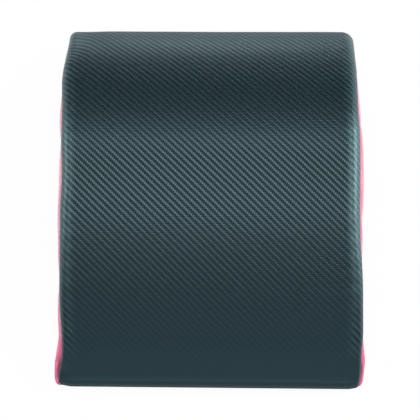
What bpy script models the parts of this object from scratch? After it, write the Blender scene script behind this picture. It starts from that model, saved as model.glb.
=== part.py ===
"""Ab mat: a domed foam pad in a sewn leatherette cover, closed by a zip in its rear wall.

Frame: +Z up, the mat stands on z = 0, +Y points to the steep end that lies under the lower back,
-Y to the thin end, X runs across. The origin is the middle of the footprint. Lengths are in metres.
"""
import math

import bmesh
import bpy
from mathutils import Vector

# Mat as a whole
MAT_LENGTH = 0.379
SEAM_WIDTH = 0.300
DOME_HEIGHT = 0.079
WIDTH_CROWN = 0.001
GAP = 0.0003

# Sheet goods
COVER_THICKNESS = 0.0016
BASE_THICKNESS = 0.0020
BASE_INSET = 0.0010
BASE_EDGE_RADIUS = 0.0007

# Side profile of the dome, front to rear
NOSE_RADIUS = 0.006
NOSE_WALL = 0.0042
FRONT_SLOPE = math.radians(21)
REAR_SLOPE = math.radians(44)
TAIL_RADIUS = 0.010
CROWN_PLACE_SHARE = 0.615
FRONT_HANDLE_SHARES = (0.50, 0.34)
REAR_HANDLE_SHARES = (0.38, 0.28)

# Rolled edge of the top panel, where it meets the side panels
ROLL_RADIUS = 0.0045

# Side panels, puffed out between their seams
SIDE_SEAM_INSET = 0.0006
SIDE_BULGE = 0.0042
FRONT_BULGE = 0.0060
FRONT_BULGE_PLACE = 0.022
FRONT_BULGE_REACH = 0.060
BULGE_TAPER = 0.008
BULGE_ROUNDNESS_SHARE = 0.75

# Zip chain and tapes
SLOT_HALF = 0.0005
TOOTH_LENGTH = 0.0020
TOOTH_ROOT = 0.0004
TOOTH_FOOT = 0.0019
TOOTH_HEAD = 0.0010
TOOTH_SHOULDER_SHARE = 0.55
TOOTH_PITCH = 0.0028
CHAIN_THICKNESS = 0.0024
CORD_WIDTH = 0.0008
CORD_THICKNESS = 0.0014
TAPE_WIDTH = 0.0065
TAPE_THICKNESS = 0.0006
TAPE_TAIL = 0.006
TAPE_END_MARGIN = 0.022
WALL_SPARE = 0.0012

# Opening in the cover for the zip
WINDOW_CLEARANCE = 0.0004
STOP_LENGTH = 0.0030
STOP_EDGE = 0.0003

# Zip slider
SLIDER_LENGTH = 0.0100
SLIDER_PLATE = 0.0011
SLIDER_INNER_PLATE = 0.0009
SLIDER_FLANGE = 0.0007
SLIDER_BLADE = 0.0004
SLIDER_WAIST = 0.0003
SLIDER_STATION_SHARES = (-0.5, -0.15, 0.2, 0.5)
ARCH_WIDTH = 0.0016
ARCH_THICKNESS = 0.0008
ARCH_LEG = 0.0009
ARCH_SPAN = 0.0040
ARCH_SINK = 0.0003
PIVOT_ROOM = 0.0008
RELIEF_CLEARANCE = 0.0006

# Zip pull
PULL_LENGTH = 0.0240
PULL_THICKNESS = 0.0010
PULL_NECK_HALF = 0.0024
PULL_END_HALF = 0.0032
EYE_HALF = 0.00115
EYE_LENGTH = 0.0042
PULL_GRIP_LENGTH = 0.0090
PULL_GRIP_DEPTH = 0.0002
PULL_GRIP_COUNT = 4
PULL_GRIP_START_SHARE = 0.25

# Facets
NOSE_STEPS = 4
FRONT_STEPS = 12
REAR_STEPS = 9
TAIL_STEPS = 4
ROLL_STEPS = 3
FLAT_STEPS = 6
BULGE_STEPS = 7
CORNER_STEPS = 5
CUTTER_OVERRUN = 0.004

# Places that follow from the sizes above
CHAIN_HALF = SLOT_HALF + TOOTH_LENGTH + CORD_WIDTH
TAPE_REACH = SLOT_HALF + TOOTH_LENGTH + TAPE_WIDTH
SLIDER_HALF = CHAIN_HALF + GAP + SLIDER_FLANGE
WINDOW_HALF = SLIDER_HALF + WINDOW_CLEARANCE
COVER_FOOT = BASE_THICKNESS + GAP
ZIP_Z = COVER_FOOT + TAPE_REACH
REAR_WALL_HEIGHT = ZIP_Z + TAPE_REACH + WALL_SPARE
TAPE_DEPTH = COVER_THICKNESS + GAP + CORD_THICKNESS / 2
PLATE_OUTSIDE = CHAIN_THICKNESS / 2 + GAP + SLIDER_PLATE - TAPE_DEPTH
PIVOT_OUTSIDE = PLATE_OUTSIDE + PIVOT_ROOM
HARDWARE_PROUD = PIVOT_OUTSIDE + PIVOT_ROOM + ARCH_THICKNESS
FRONT_Y = -(MAT_LENGTH + HARDWARE_PROUD) / 2
REAR_Y = FRONT_Y + MAT_LENGTH
TAPE_Y = REAR_Y - TAPE_DEPTH
HALF_WIDTH = SEAM_WIDTH / 2
TAPE_LENGTH = SEAM_WIDTH - 2 * TAPE_END_MARGIN
WINDOW_LENGTH = TAPE_LENGTH - 2 * TAPE_TAIL
CHAIN_ROOM = WINDOW_LENGTH / 2 - STOP_LENGTH - GAP
SLIDER_CLOSED_X = CHAIN_ROOM - GAP - SLIDER_LENGTH / 2


# Scene and materials
def clear_scene():
    for thing in list(bpy.data.objects):
        bpy.data.objects.remove(thing, do_unlink=True)


def material(name, colour, roughness, metallic=0.0):
    made = bpy.data.materials.new(name)
    made.use_nodes = True
    shader = made.node_tree.nodes["Principled BSDF"]
    shader.inputs["Base Color"].default_value = (*colour, 1.0)
    shader.inputs["Roughness"].default_value = roughness
    shader.inputs["Metallic"].default_value = metallic
    return made


def add_object(name, mesh, finish=None):
    thing = bpy.data.objects.new(name, mesh)
    bpy.context.scene.collection.objects.link(thing)
    if finish is not None:
        mesh.materials.append(finish)
    return thing


def finish_mesh(name, work, finish=None, sharp_angle=math.radians(40)):
    bmesh.ops.recalc_face_normals(work, faces=work.faces)
    mesh = bpy.data.meshes.new(name)
    work.to_mesh(mesh)
    work.free()
    mesh.shade_smooth()
    mesh.set_sharp_from_angle(angle=sharp_angle)
    return add_object(name, mesh, finish)


def prism(name, outline, near, far, place, finish=None):
    """Extrudes a flat outline; place(u, v, w) turns its two coordinates and the depth into x, y, z."""
    work = bmesh.new()
    rings = [[work.verts.new(place(u, v, w)) for u, v in outline] for w in (near, far)]
    work.faces.new(rings[0])
    work.faces.new(rings[1])
    for index in range(len(outline)):
        after = (index + 1) % len(outline)
        work.faces.new((rings[0][index], rings[0][after], rings[1][after], rings[1][index]))
    return finish_mesh(name, work, finish)


def use_as_tool(thing):
    thing.hide_render = True
    thing.display_type = "WIRE"


def combine(target, tool, operation):
    use_as_tool(tool)
    change = target.modifiers.new(operation.title() + " " + tool.name, "BOOLEAN")
    change.operation = operation
    change.solver = "EXACT"
    change.object = tool


# Side profile
class Station:
    """One place on the dome's side profile: a point and the outward normal, both in y and z."""

    def __init__(self, y, z, normal_y, normal_z):
        self.y = y
        self.z = z
        self.normal_y = normal_y
        self.normal_z = normal_z

    def lowered(self, depth):
        return self.y - self.normal_y * depth, self.z - self.normal_z * depth


def bezier(start, start_handle, end_handle, end, steps):
    """Stations along a cubic curve, without its first point."""
    found = []
    for step in range(1, steps + 1):
        t = step / steps
        r = 1 - t
        point = start * r**3 + start_handle * 3 * r**2 * t + end_handle * 3 * r * t**2 + end * t**3
        along = (start_handle - start) * r**2 + (end_handle - start_handle) * 2 * r * t
        along += (end - end_handle) * t**2
        along.normalize()
        found.append(Station(point.x, point.y, -along.y, along.x))
    return found


def arc(centre, radius, first_angle, last_angle, steps):
    """Stations on an arc, both ends included; the angle is the normal's, from +Y towards +Z."""
    found = []
    for step in range(steps + 1):
        angle = first_angle + (last_angle - first_angle) * step / steps
        normal = Vector((math.cos(angle), math.sin(angle)))
        point = centre + normal * radius
        found.append(Station(point.x, point.y, normal.x, normal.y))
    return found


def dome_stations():
    """The outer line of the top panel between the front wall and the rear wall."""
    nose_centre = Vector((FRONT_Y + NOSE_RADIUS, COVER_FOOT + NOSE_WALL))
    nose = arc(nose_centre, NOSE_RADIUS, math.pi, math.pi / 2 + FRONT_SLOPE, NOSE_STEPS)
    tail_centre = Vector((REAR_Y - TAIL_RADIUS, REAR_WALL_HEIGHT))
    tail = arc(tail_centre, TAIL_RADIUS, math.pi / 2 - REAR_SLOPE, 0.0, TAIL_STEPS)
    crown = Vector((FRONT_Y + CROWN_PLACE_SHARE * MAT_LENGTH, DOME_HEIGHT))
    start = Vector((nose[-1].y, nose[-1].z))
    end = Vector((tail[0].y, tail[0].z))
    front_run = crown.x - start.x
    rear_run = end.x - crown.x
    uphill = Vector((math.cos(FRONT_SLOPE), math.sin(FRONT_SLOPE)))
    downhill = Vector((math.cos(REAR_SLOPE), -math.sin(REAR_SLOPE)))
    front = bezier(start, start + uphill * (FRONT_HANDLE_SHARES[0] * front_run),
                   crown - Vector((FRONT_HANDLE_SHARES[1] * front_run, 0)), crown, FRONT_STEPS)
    rear = bezier(crown, crown + Vector((REAR_HANDLE_SHARES[0] * rear_run, 0)),
                  end - downhill * (REAR_HANDLE_SHARES[1] * rear_run), end, REAR_STEPS)
    return nose + front + rear[:-1] + tail


def front_wall_station(z):
    return Station(FRONT_Y, z, -1.0, 0.0)


def rear_wall_station(z):
    return Station(REAR_Y, z, 1.0, 0.0)


# Cover and core surfaces
def columns(stops=()):
    """Places across the width: a roll angle at each edge, flat places between, x as a fraction."""
    flat = {-1 + 2 * step / FLAT_STEPS for step in range(FLAT_STEPS + 1)}
    flat |= set(stops)
    roll = [math.pi / 2 * step / ROLL_STEPS for step in range(1, ROLL_STEPS + 1)]
    places = [(-1.0, angle) for angle in reversed(roll)]
    places += [(fraction, 0.0) for fraction in sorted(flat)]
    places += [(1.0, angle) for angle in roll]
    return places


def cover_point(station, fraction, roll_angle, depth):
    """A point of the dome's skin, the given depth below its outer face."""
    flat_half = HALF_WIDTH - ROLL_RADIUS
    radius = ROLL_RADIUS - depth
    x = fraction * flat_half
    lift = WIDTH_CROWN * (1 - fraction**2) * max(station.normal_z, 0.0) - depth
    if roll_angle > 0:
        x = math.copysign(flat_half + radius * math.sin(roll_angle), fraction)
        lift = radius * math.cos(roll_angle) - ROLL_RADIUS
    y, z = station.lowered(-lift)
    return x, y, z


def thick_sheet(name, stations, places, finish, is_kept=None):
    """A closed sheet of cover material that follows the dome; is_kept(row, column) leaves cells out."""
    work = bmesh.new()
    skins = []
    for depth in (0.0, COVER_THICKNESS):
        skins.append([[work.verts.new(cover_point(station, *place, depth)) for place in places]
                      for station in stations])
    rim_count = {}
    for row in range(len(stations) - 1):
        for column in range(len(places) - 1):
            if is_kept is not None and not is_kept(row, column):
                continue
            cell = ((row, column), (row, column + 1), (row + 1, column + 1), (row + 1, column))
            for skin in skins:
                work.faces.new([skin[i][j] for i, j in cell])
            for first, second in zip(cell, cell[1:] + cell[:1]):
                edge = tuple(sorted((first, second)))
                rim_count[edge] = rim_count.get(edge, 0) + 1
    for (first, second), uses in rim_count.items():
        if uses == 1:
            outer, inner = skins
            work.faces.new((outer[first[0]][first[1]], outer[second[0]][second[1]],
                            inner[second[0]][second[1]], inner[first[0]][first[1]]))
    for vert in [vert for vert in work.verts if not vert.link_faces]:
        work.verts.remove(vert)
    return finish_mesh(name, work, finish)


def make_top_panel(finish):
    """One length of leatherette, from the front seam over the dome down to the zip."""
    window_fraction = WINDOW_LENGTH / 2 / (HALF_WIDTH - ROLL_RADIUS)
    places = columns(stops=(-window_fraction, window_fraction))
    stations = [front_wall_station(COVER_FOOT)] + dome_stations()
    stations.append(rear_wall_station(ZIP_Z + WINDOW_HALF))
    stations.append(rear_wall_station(ZIP_Z - WINDOW_HALF))
    last_row = len(stations) - 2

    def is_kept(row, column):
        middle = (places[column][0] + places[column + 1][0]) / 2
        return row < last_row or abs(middle) > window_fraction

    return thick_sheet("top_panel", stations, places, finish, is_kept)


def make_rear_facing(finish):
    """The strip between the zip and the base, which carries the lower tape."""
    stations = [rear_wall_station(ZIP_Z - WINDOW_HALF - GAP), rear_wall_station(COVER_FOOT)]
    return thick_sheet("rear_facing", stations, columns(), finish)


def bulge(y):
    """How far a side panel stands out at mid height; most near the thin end, least at the corners."""
    from_front = y - FRONT_Y
    to_rear = REAR_Y - y
    away = min(abs(from_front - FRONT_BULGE_PLACE) / FRONT_BULGE_REACH, 1.0)
    extra = (FRONT_BULGE - SIDE_BULGE) * math.cos(away * math.pi / 2) ** 2
    from_corner = min(from_front, to_rear) - ROLL_RADIUS - GAP
    taper = math.sin(min(from_corner, BULGE_TAPER) / BULGE_TAPER * math.pi / 2)
    return (SIDE_BULGE + extra) * taper


def make_side_panel(name, side, finish):
    """A leatherette side with its wadding: flat against the core, crowned outside."""
    seam_depth = ROLL_RADIUS + GAP
    seam = [station.lowered(seam_depth) for station in dome_stations()]
    inner_x = HALF_WIDTH - COVER_THICKNESS
    seam_x = HALF_WIDTH - SIDE_SEAM_INSET
    work = bmesh.new()
    inner = []
    outer = []
    for y, top in seam:
        inner.append([])
        outer.append([])
        for step in range(BULGE_STEPS + 1):
            share = step / BULGE_STEPS
            z = COVER_FOOT + (top - COVER_FOOT) * share
            rise = math.sin(math.pi * share) ** BULGE_ROUNDNESS_SHARE if 0 < step < BULGE_STEPS else 0.0
            inner[-1].append(work.verts.new((side * inner_x, y, z)))
            outer[-1].append(work.verts.new((side * (seam_x + bulge(y) * rise), y, z)))
    for row in range(len(seam) - 1):
        for step in range(BULGE_STEPS):
            for skin in (inner, outer):
                work.faces.new((skin[row][step], skin[row][step + 1],
                                skin[row + 1][step + 1], skin[row + 1][step]))
        for step in (0, BULGE_STEPS):
            work.faces.new((inner[row][step], inner[row + 1][step],
                            outer[row + 1][step], outer[row][step]))
    for row in (0, len(seam) - 1):
        for step in range(BULGE_STEPS):
            work.faces.new((inner[row][step], inner[row][step + 1],
                            outer[row][step + 1], outer[row][step]))
    return finish_mesh(name, work, finish)


def make_core(finish):
    """The foam block: the dome's own shape, one cover thickness smaller, hollowed behind the zip."""
    depth = COVER_THICKNESS + GAP
    stations = [front_wall_station(COVER_FOOT)] + dome_stations() + [rear_wall_station(COVER_FOOT)]
    places = columns()
    work = bmesh.new()
    skin = [[work.verts.new(cover_point(station, *place, depth)) for place in places]
            for station in stations]
    for row in range(len(stations) - 1):
        for column in range(len(places) - 1):
            work.faces.new((skin[row][column], skin[row][column + 1],
                            skin[row + 1][column + 1], skin[row + 1][column]))
    work.faces.new([line[0] for line in skin])
    work.faces.new([line[-1] for line in skin])
    work.faces.new(skin[0] + skin[-1][::-1])
    core = finish_mesh("foam_core", work, finish)
    relief_depth = TAPE_DEPTH + CHAIN_THICKNESS / 2 + GAP + SLIDER_INNER_PLATE + RELIEF_CLEARANCE
    relief = box("relief_cutter", (TAPE_LENGTH / 2 + RELIEF_CLEARANCE,
                                   REAR_Y - relief_depth, REAR_Y + CUTTER_OVERRUN),
                 (COVER_FOOT - CUTTER_OVERRUN, ZIP_Z + TAPE_REACH + RELIEF_CLEARANCE))
    combine(core, relief, "DIFFERENCE")
    return core


def box(name, half_and_depths, heights, finish=None):
    """A block across the mat: half its length in x, then near and far y, then low and high z."""
    half, near_y, far_y = half_and_depths
    outline = ((near_y, heights[0]), (far_y, heights[0]), (far_y, heights[1]), (near_y, heights[1]))
    return prism(name, outline, -half, half, lambda y, z, x: (x, y, z), finish)


def make_base(finish):
    """The non-slip base cloth, cut a little smaller than the cover's foot."""
    half_x = HALF_WIDTH - BASE_INSET
    low_y = FRONT_Y + BASE_INSET
    high_y = REAR_Y - BASE_INSET
    corner = ROLL_RADIUS - BASE_INSET
    outline = []
    corners = ((half_x, high_y, 0.0), (-half_x, high_y, math.pi / 2),
               (-half_x, low_y, math.pi), (half_x, low_y, math.pi * 3 / 2))
    for x, y, first in corners:
        centre_x = x - math.copysign(corner, x)
        centre_y = y - math.copysign(corner, y)
        for step in range(CORNER_STEPS + 1):
            angle = first + math.pi / 2 * step / CORNER_STEPS
            outline.append((centre_x + corner * math.cos(angle), centre_y + corner * math.sin(angle)))
    base = prism("base_panel", outline, 0.0, BASE_THICKNESS, lambda x, y, z: (x, y, z), finish)
    edge = base.modifiers.new("Soft edge", "BEVEL")
    edge.width = BASE_EDGE_RADIUS
    edge.segments = 2
    edge.limit_method = "ANGLE"
    edge.angle_limit = math.radians(60)
    return base


# Zip
def make_tape(name, side, finish):
    """A woven tape with a thick corded edge, and the row of teeth that is moulded onto the cord."""
    tape = TAPE_THICKNESS / 2
    cord = CORD_THICKNESS / 2
    first = SLOT_HALF + TOOTH_LENGTH
    outline = ((-cord, first), (cord, first), (cord, CHAIN_HALF), (tape, CHAIN_HALF),
               (tape, TAPE_REACH), (-tape, TAPE_REACH), (-tape, CHAIN_HALF), (-cord, CHAIN_HALF))
    made = prism(name, outline, -TAPE_LENGTH / 2, TAPE_LENGTH / 2,
                 lambda y, z, x: (x, TAPE_Y + y, ZIP_Z + side * z), finish)
    combine(made, make_teeth(name + "_teeth_tool", side), "UNION")
    return made


def make_teeth(name, side):
    """A row of teeth, rooted in the cord; the upper row stands half a pitch along from the lower."""
    foot = TOOTH_FOOT / 2
    head = TOOTH_HEAD / 2
    root = SLOT_HALF + TOOTH_LENGTH + TOOTH_ROOT
    shoulder = SLOT_HALF + TOOTH_LENGTH * TOOTH_SHOULDER_SHARE
    outline = ((-foot, root), (foot, root), (foot, shoulder), (head, SLOT_HALF),
               (-head, SLOT_HALF), (-foot, shoulder))
    count = int((2 * CHAIN_ROOM - TOOTH_PITCH / 2 - TOOTH_FOOT) / TOOTH_PITCH) + 1
    first_x = -((count - 1) * TOOTH_PITCH + side * TOOTH_PITCH / 2) / 2
    half = CHAIN_THICKNESS / 2
    work = bmesh.new()
    for index in range(count):
        x = first_x + index * TOOTH_PITCH
        rings = [[work.verts.new((x + u, TAPE_Y + y, ZIP_Z + side * z)) for u, z in outline]
                 for y in (-half, half)]
        work.faces.new(rings[0])
        work.faces.new(rings[1])
        for corner in range(len(outline)):
            after = (corner + 1) % len(outline)
            work.faces.new((rings[0][corner], rings[0][after], rings[1][after], rings[1][corner]))
    return finish_mesh(name, work)


def make_stop(name, direction, low, high, finish):
    """A metal clip past the last teeth; low and high are its reach from the zip's middle line."""
    near = direction * (CHAIN_ROOM + GAP)
    far = direction * (CHAIN_ROOM + STOP_LENGTH)
    outline = ((near, low), (far, low), (far, high), (near, high))
    half = CHAIN_THICKNESS / 2
    stop = prism(name, outline, -half, half, lambda x, z, y: (x, TAPE_Y + y, ZIP_Z + z), finish)
    edge = stop.modifiers.new("Soft edge", "BEVEL")
    edge.width = STOP_EDGE
    edge.segments = 1
    return stop


def slider_section(half_width):
    """The slider seen along the zip: two plates with lips, joined by the blade between the teeth."""
    chain = CHAIN_THICKNESS / 2 + GAP
    lip = TAPE_THICKNESS / 2 + GAP
    outer = chain + SLIDER_PLATE
    inner = -chain - SLIDER_INNER_PLATE
    flange = CHAIN_HALF + GAP
    blade = SLIDER_BLADE / 2
    right = ((outer, 0.0), (outer, half_width), (lip, half_width), (lip, flange), (chain, flange),
             (chain, blade), (-chain, blade), (-chain, flange), (-lip, flange), (-lip, half_width),
             (inner, half_width), (inner, 0.0))
    left = [(y, -z) for y, z in reversed(right) if z > 0]
    return list(right) + left


def make_slider(finish):
    """The slider, waisted along its length, with the arch that holds the pull."""
    half_widths = (SLIDER_HALF - SLIDER_WAIST / 2, SLIDER_HALF - SLIDER_WAIST,
                   SLIDER_HALF, SLIDER_HALF - SLIDER_WAIST / 2)
    work = bmesh.new()
    rings = []
    for share, half_width in zip(SLIDER_STATION_SHARES, half_widths):
        rings.append([work.verts.new((share * SLIDER_LENGTH, y, z)) for y, z in slider_section(half_width)])
    work.faces.new(rings[0])
    work.faces.new(rings[-1])
    count = len(rings[0])
    for first, second in zip(rings, rings[1:]):
        for index in range(count):
            after = (index + 1) % count
            work.faces.new((first[index], first[after], second[after], second[index]))
    slider = finish_mesh("zip_slider", work, finish)
    slider.location = (SLIDER_CLOSED_X, TAPE_Y, ZIP_Z)
    arch = make_arch()
    arch.parent = slider
    combine(slider, arch, "UNION")
    return slider


def make_arch():
    """The bridge over the slider's outer plate; it is sunk a little into the plate."""
    plate = CHAIN_THICKNESS / 2 + GAP + SLIDER_PLATE
    under = plate + 2 * PIVOT_ROOM
    top = under + ARCH_THICKNESS
    inside = ARCH_SPAN / 2
    outside = inside + ARCH_LEG
    outline = ((-outside, plate - ARCH_SINK), (-inside, plate - ARCH_SINK), (-inside, under),
               (inside, under), (inside, plate - ARCH_SINK), (outside, plate - ARCH_SINK),
               (outside, under), (outside - ARCH_THICKNESS, top), (ARCH_THICKNESS - outside, top),
               (-outside, under))
    return prism("arch_tool", outline, -ARCH_WIDTH / 2, ARCH_WIDTH / 2, lambda x, y, z: (x, y, z))


def make_pull(slider, finish):
    """The pull tab; its origin is the pivot bar under the slider's arch, and it points away from +X."""
    bar = PULL_THICKNESS / 2
    end = -(PULL_LENGTH - PULL_END_HALF)
    outline = [(bar, -PULL_NECK_HALF), (bar, PULL_NECK_HALF), (-EYE_LENGTH, PULL_NECK_HALF)]
    for step in range(CORNER_STEPS + 1):
        angle = math.pi / 2 + math.pi * step / CORNER_STEPS
        outline.append((end + PULL_END_HALF * math.cos(angle), PULL_END_HALF * math.sin(angle)))
    outline.append((-EYE_LENGTH, -PULL_NECK_HALF))
    pull = prism("zip_pull", outline, -bar, bar, lambda x, z, y: (x, y, z), finish)
    eye_outline = ((-EYE_LENGTH, -EYE_HALF), (-bar, -EYE_HALF), (-bar, EYE_HALF), (-EYE_LENGTH, EYE_HALF))
    eye = prism("eye_cutter", eye_outline, -CUTTER_OVERRUN, CUTTER_OVERRUN, lambda x, z, y: (x, y, z))
    combine(pull, eye, "DIFFERENCE")
    eye.parent = pull
    for index in range(PULL_GRIP_COUNT):
        pitch = PULL_GRIP_LENGTH / PULL_GRIP_COUNT
        x = end + (index + PULL_GRIP_START_SHARE) * pitch
        groove_outline = ((x, -CUTTER_OVERRUN), (x + pitch / 2, -CUTTER_OVERRUN),
                          (x + pitch / 2, CUTTER_OVERRUN), (x, CUTTER_OVERRUN))
        groove = prism("groove_cutter_%d" % (index + 1), groove_outline, bar - PULL_GRIP_DEPTH,
                       bar + CUTTER_OVERRUN, lambda x, z, y: (x, y, z))
        combine(pull, groove, "DIFFERENCE")
        groove.parent = pull
    pull.parent = slider
    pull.location = (0.0, PIVOT_OUTSIDE + TAPE_DEPTH, 0.0)
    return pull


def build():
    clear_scene()
    weave = material("embossed_leatherette", (0.040, 0.072, 0.086), 0.42)
    pink = material("pink_leatherette", (0.83, 0.155, 0.29), 0.45)
    foam = material("grey_foam", (0.17, 0.17, 0.18), 0.95)
    cloth = material("non_slip_cloth", (0.022, 0.023, 0.025), 0.90)
    tape = material("zip_tape", (0.02, 0.02, 0.022), 0.85)
    metal = material("zip_metal", (0.05, 0.05, 0.055), 0.38, 1.0)

    make_core(foam)
    make_top_panel(weave)
    make_side_panel("side_panel_left", -1, pink)
    make_side_panel("side_panel_right", 1, pink)
    make_base(cloth)
    make_rear_facing(weave)
    make_tape("zip_tape_upper", 1, tape)
    make_tape("zip_tape_lower", -1, tape)
    reach = SLOT_HALF + TOOTH_LENGTH - GAP
    make_stop("zip_top_stop_upper", 1, SLOT_HALF, reach, metal)
    make_stop("zip_top_stop_lower", 1, -reach, -SLOT_HALF, metal)
    make_stop("zip_bottom_stop", -1, -reach, reach, metal)
    slider = make_slider(metal)
    make_pull(slider, metal)


build()
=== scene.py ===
# %% [markdown]
# # An ab mat, dressed for its picture
# The mat is a domed foam pad in a sewn cover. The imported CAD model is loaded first, as a fixed frame:
# every new piece is built around it, in metres, with +Z up and +Y towards the steep end.

# %% Load the frame
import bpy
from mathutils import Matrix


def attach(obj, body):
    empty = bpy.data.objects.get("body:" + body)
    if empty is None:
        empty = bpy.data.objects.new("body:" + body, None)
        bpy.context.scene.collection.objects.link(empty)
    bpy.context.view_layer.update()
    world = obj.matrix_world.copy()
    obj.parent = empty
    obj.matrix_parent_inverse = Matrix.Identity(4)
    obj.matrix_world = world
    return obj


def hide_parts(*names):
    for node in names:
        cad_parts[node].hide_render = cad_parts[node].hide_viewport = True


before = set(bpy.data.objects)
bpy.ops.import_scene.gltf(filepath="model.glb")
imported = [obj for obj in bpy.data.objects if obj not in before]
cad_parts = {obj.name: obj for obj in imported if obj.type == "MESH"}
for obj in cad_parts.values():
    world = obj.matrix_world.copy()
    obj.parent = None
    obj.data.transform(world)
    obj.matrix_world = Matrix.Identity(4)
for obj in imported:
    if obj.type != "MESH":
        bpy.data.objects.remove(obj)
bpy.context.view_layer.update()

# %% [markdown]
# Lengths read best in millimetres, so one constant turns them into Blender's metres. The numpy
# library moves many points at once, which keeps the cloth work short.

# %% Names used all through
import math

import bmesh
import bpy
import numpy as np
from mathutils import Quaternion, Vector

MM = 0.001

# %% [markdown]
# ## Camera
# The mat was photographed from the thin end, high above it, through a long lens from far away, which
# keeps its sides nearly parallel. The camera is aimed a little below the middle of the mat, so that
# the mat sits a touch above the middle of the picture.

# %% Camera
CAMERA_ELEVATION = math.radians(70.5)
CAMERA_DISTANCE = 2.4
CAMERA_ROLL = math.radians(0.15)
LENS_MM = 202.3
AIM = Vector((-0.4, 0.0, 30.0)) * MM
AIM_DROP = 10.8 * MM

bpy.ops.object.camera_add()
camera = bpy.context.object
camera.name = "photo_camera"
camera.data.lens = LENS_MM
towards_camera = Vector((0.0, -math.cos(CAMERA_ELEVATION), math.sin(CAMERA_ELEVATION)))
picture_up = Vector((0.0, math.sin(CAMERA_ELEVATION), math.cos(CAMERA_ELEVATION)))
camera.location = AIM + towards_camera * CAMERA_DISTANCE - picture_up * AIM_DROP
camera.rotation_mode = "QUATERNION"
aimed = (-towards_camera).to_track_quat("-Z", "Y")
camera.rotation_quaternion = aimed @ Quaternion((0.0, 0.0, 1.0), CAMERA_ROLL)
bpy.context.scene.camera = camera
bpy.context.scene.view_settings.view_transform = "Standard"
print("camera at", [round(value, 3) for value in camera.location])

# %% [markdown]
# ## Shader sums in Python
# A material is a net of nodes. Written out one by one, sums are hard to read, so a wire here is a
# node's output that understands plus, minus, times and divide, and each sum adds its own Math node.


# %% A wire and a finish
class Wire:
    """The output of a node, ready for sums."""

    def __init__(self, finish, socket):
        self.finish = finish
        self.socket = socket

    def maths(self, operation, *others):
        values = dict(enumerate((self, *others)))
        return self.finish.node("ShaderNodeMath", {"operation": operation}, values)

    def __add__(self, other):
        return self.maths("ADD", other)

    __radd__ = __add__

    def __sub__(self, other):
        return self.maths("SUBTRACT", other)

    def __rsub__(self, other):
        return self.finish.node("ShaderNodeMath", {"operation": "SUBTRACT"}, {0: other, 1: self})

    def __mul__(self, other):
        return self.maths("MULTIPLY", other)

    def __truediv__(self, other):
        return self.maths("DIVIDE", other)

    def between(self, low, high, start=0.0, end=1.0):
        """Goes smoothly from start to end while the wire goes from low to high."""
        values = {0: self, 1: low, 2: high, 3: start, 4: end}
        return self.finish.node("ShaderNodeMapRange", {"interpolation_type": "SMOOTHSTEP"}, values)


class Finish:
    """A material in the making, on one Principled shader."""

    def __init__(self, name, **constants):
        self.material = bpy.data.materials.new(name)
        self.material.use_nodes = True
        self.tree = self.material.node_tree
        self.shader = self.tree.nodes["Principled BSDF"]
        self.drive(**constants)

    def feed(self, socket, value):
        """Links a wire to a socket, or sets a constant on it."""
        if isinstance(value, Wire):
            self.tree.links.new(value.socket, socket)
        else:
            socket.default_value = value

    def drive(self, **values):
        """Feeds the shader's sockets, with underscores for the spaces in their names."""
        for socket, value in values.items():
            self.feed(self.shader.inputs[socket.replace("_", " ")], value)
        return self

    def node(self, kind, settings=None, values=None, output=0):
        """Adds a node, first its settings, then its values and links, and gives one output back."""
        made = self.tree.nodes.new(kind)
        for setting, value in (settings or {}).items():
            setattr(made, setting, value)
        for socket, value in (values or {}).items():
            self.feed(made.inputs[socket], value)
        return Wire(self, made.outputs[output])

    def axes(self, vector):
        """A vector's three parts."""
        split = self.node("ShaderNodeSeparateXYZ", values={0: vector})
        return [Wire(self, socket) for socket in split.socket.node.outputs]

    def object_place(self):
        return self.node("ShaderNodeTexCoord", output=3)

    def noise(self, place, scale, detail=2.0):
        return self.node("ShaderNodeTexNoise", values={"Vector": place, "Scale": scale, "Detail": detail})

    def blend(self, factor, first, second):
        """A colour between two, which a Math node would turn grey."""
        return self.node("ShaderNodeMix", {"data_type": "RGBA"}, {0: factor, 6: first, 7: second}, output=2)

    def relief(self, height, depth):
        """A bump that feeds the shader's normal; height 1 stands depth metres high."""
        return self.drive(Normal=self.node("ShaderNodeBump", values={"Height": height, "Distance": depth}))

    def dress(self, *pieces):
        """Puts the material on pieces."""
        for piece in pieces:
            piece.data.materials.append(self.material)


print("finishes can be written as sums")

# %% [markdown]
# ## The studio
# The picture's background is pure white. A large white floor whose rim turns up far away gives that,
# seen straight or mirrored in the cover. One broad lamp hangs overhead, a little behind the mat, and
# two smaller ones stand at the sides. A small, low lamp behind lights the steep end, which is pale in
# the photo. The rest of the light is an even grey sky.

# %% Studio floor
SWEEP_RADIUS = 9.0
SWEEP_RISE = 2.0
FLOOR_DROP = 0.05 * MM
SEEN_WHITE = 0.95
PAPER = (0.86, 0.86, 0.86, 1.0)
WHITE = (1.0, 1.0, 1.0, 1.0)


def deselect():
    bpy.ops.object.select_all(action="DESELECT")


def select_only(piece):
    """Makes a piece the active one, with no other selected."""
    deselect()
    piece.select_set(True)
    bpy.context.view_layer.objects.active = piece


deselect()
bpy.ops.mesh.primitive_circle_add(vertices=96, radius=SWEEP_RADIUS, fill_type="NGON",
                                  location=(0.0, 0.0, -FLOOR_DROP))
studio_floor = bpy.context.object
studio_floor.name = "studio_floor"
bpy.ops.object.mode_set(mode="EDIT")
bpy.ops.mesh.select_all(action="SELECT")
bpy.ops.mesh.region_to_loop()
bpy.ops.mesh.extrude_region_move(TRANSFORM_OT_translate={"value": (0.0, 0.0, SWEEP_RISE)})
bpy.ops.object.mode_set(mode="OBJECT")

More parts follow.
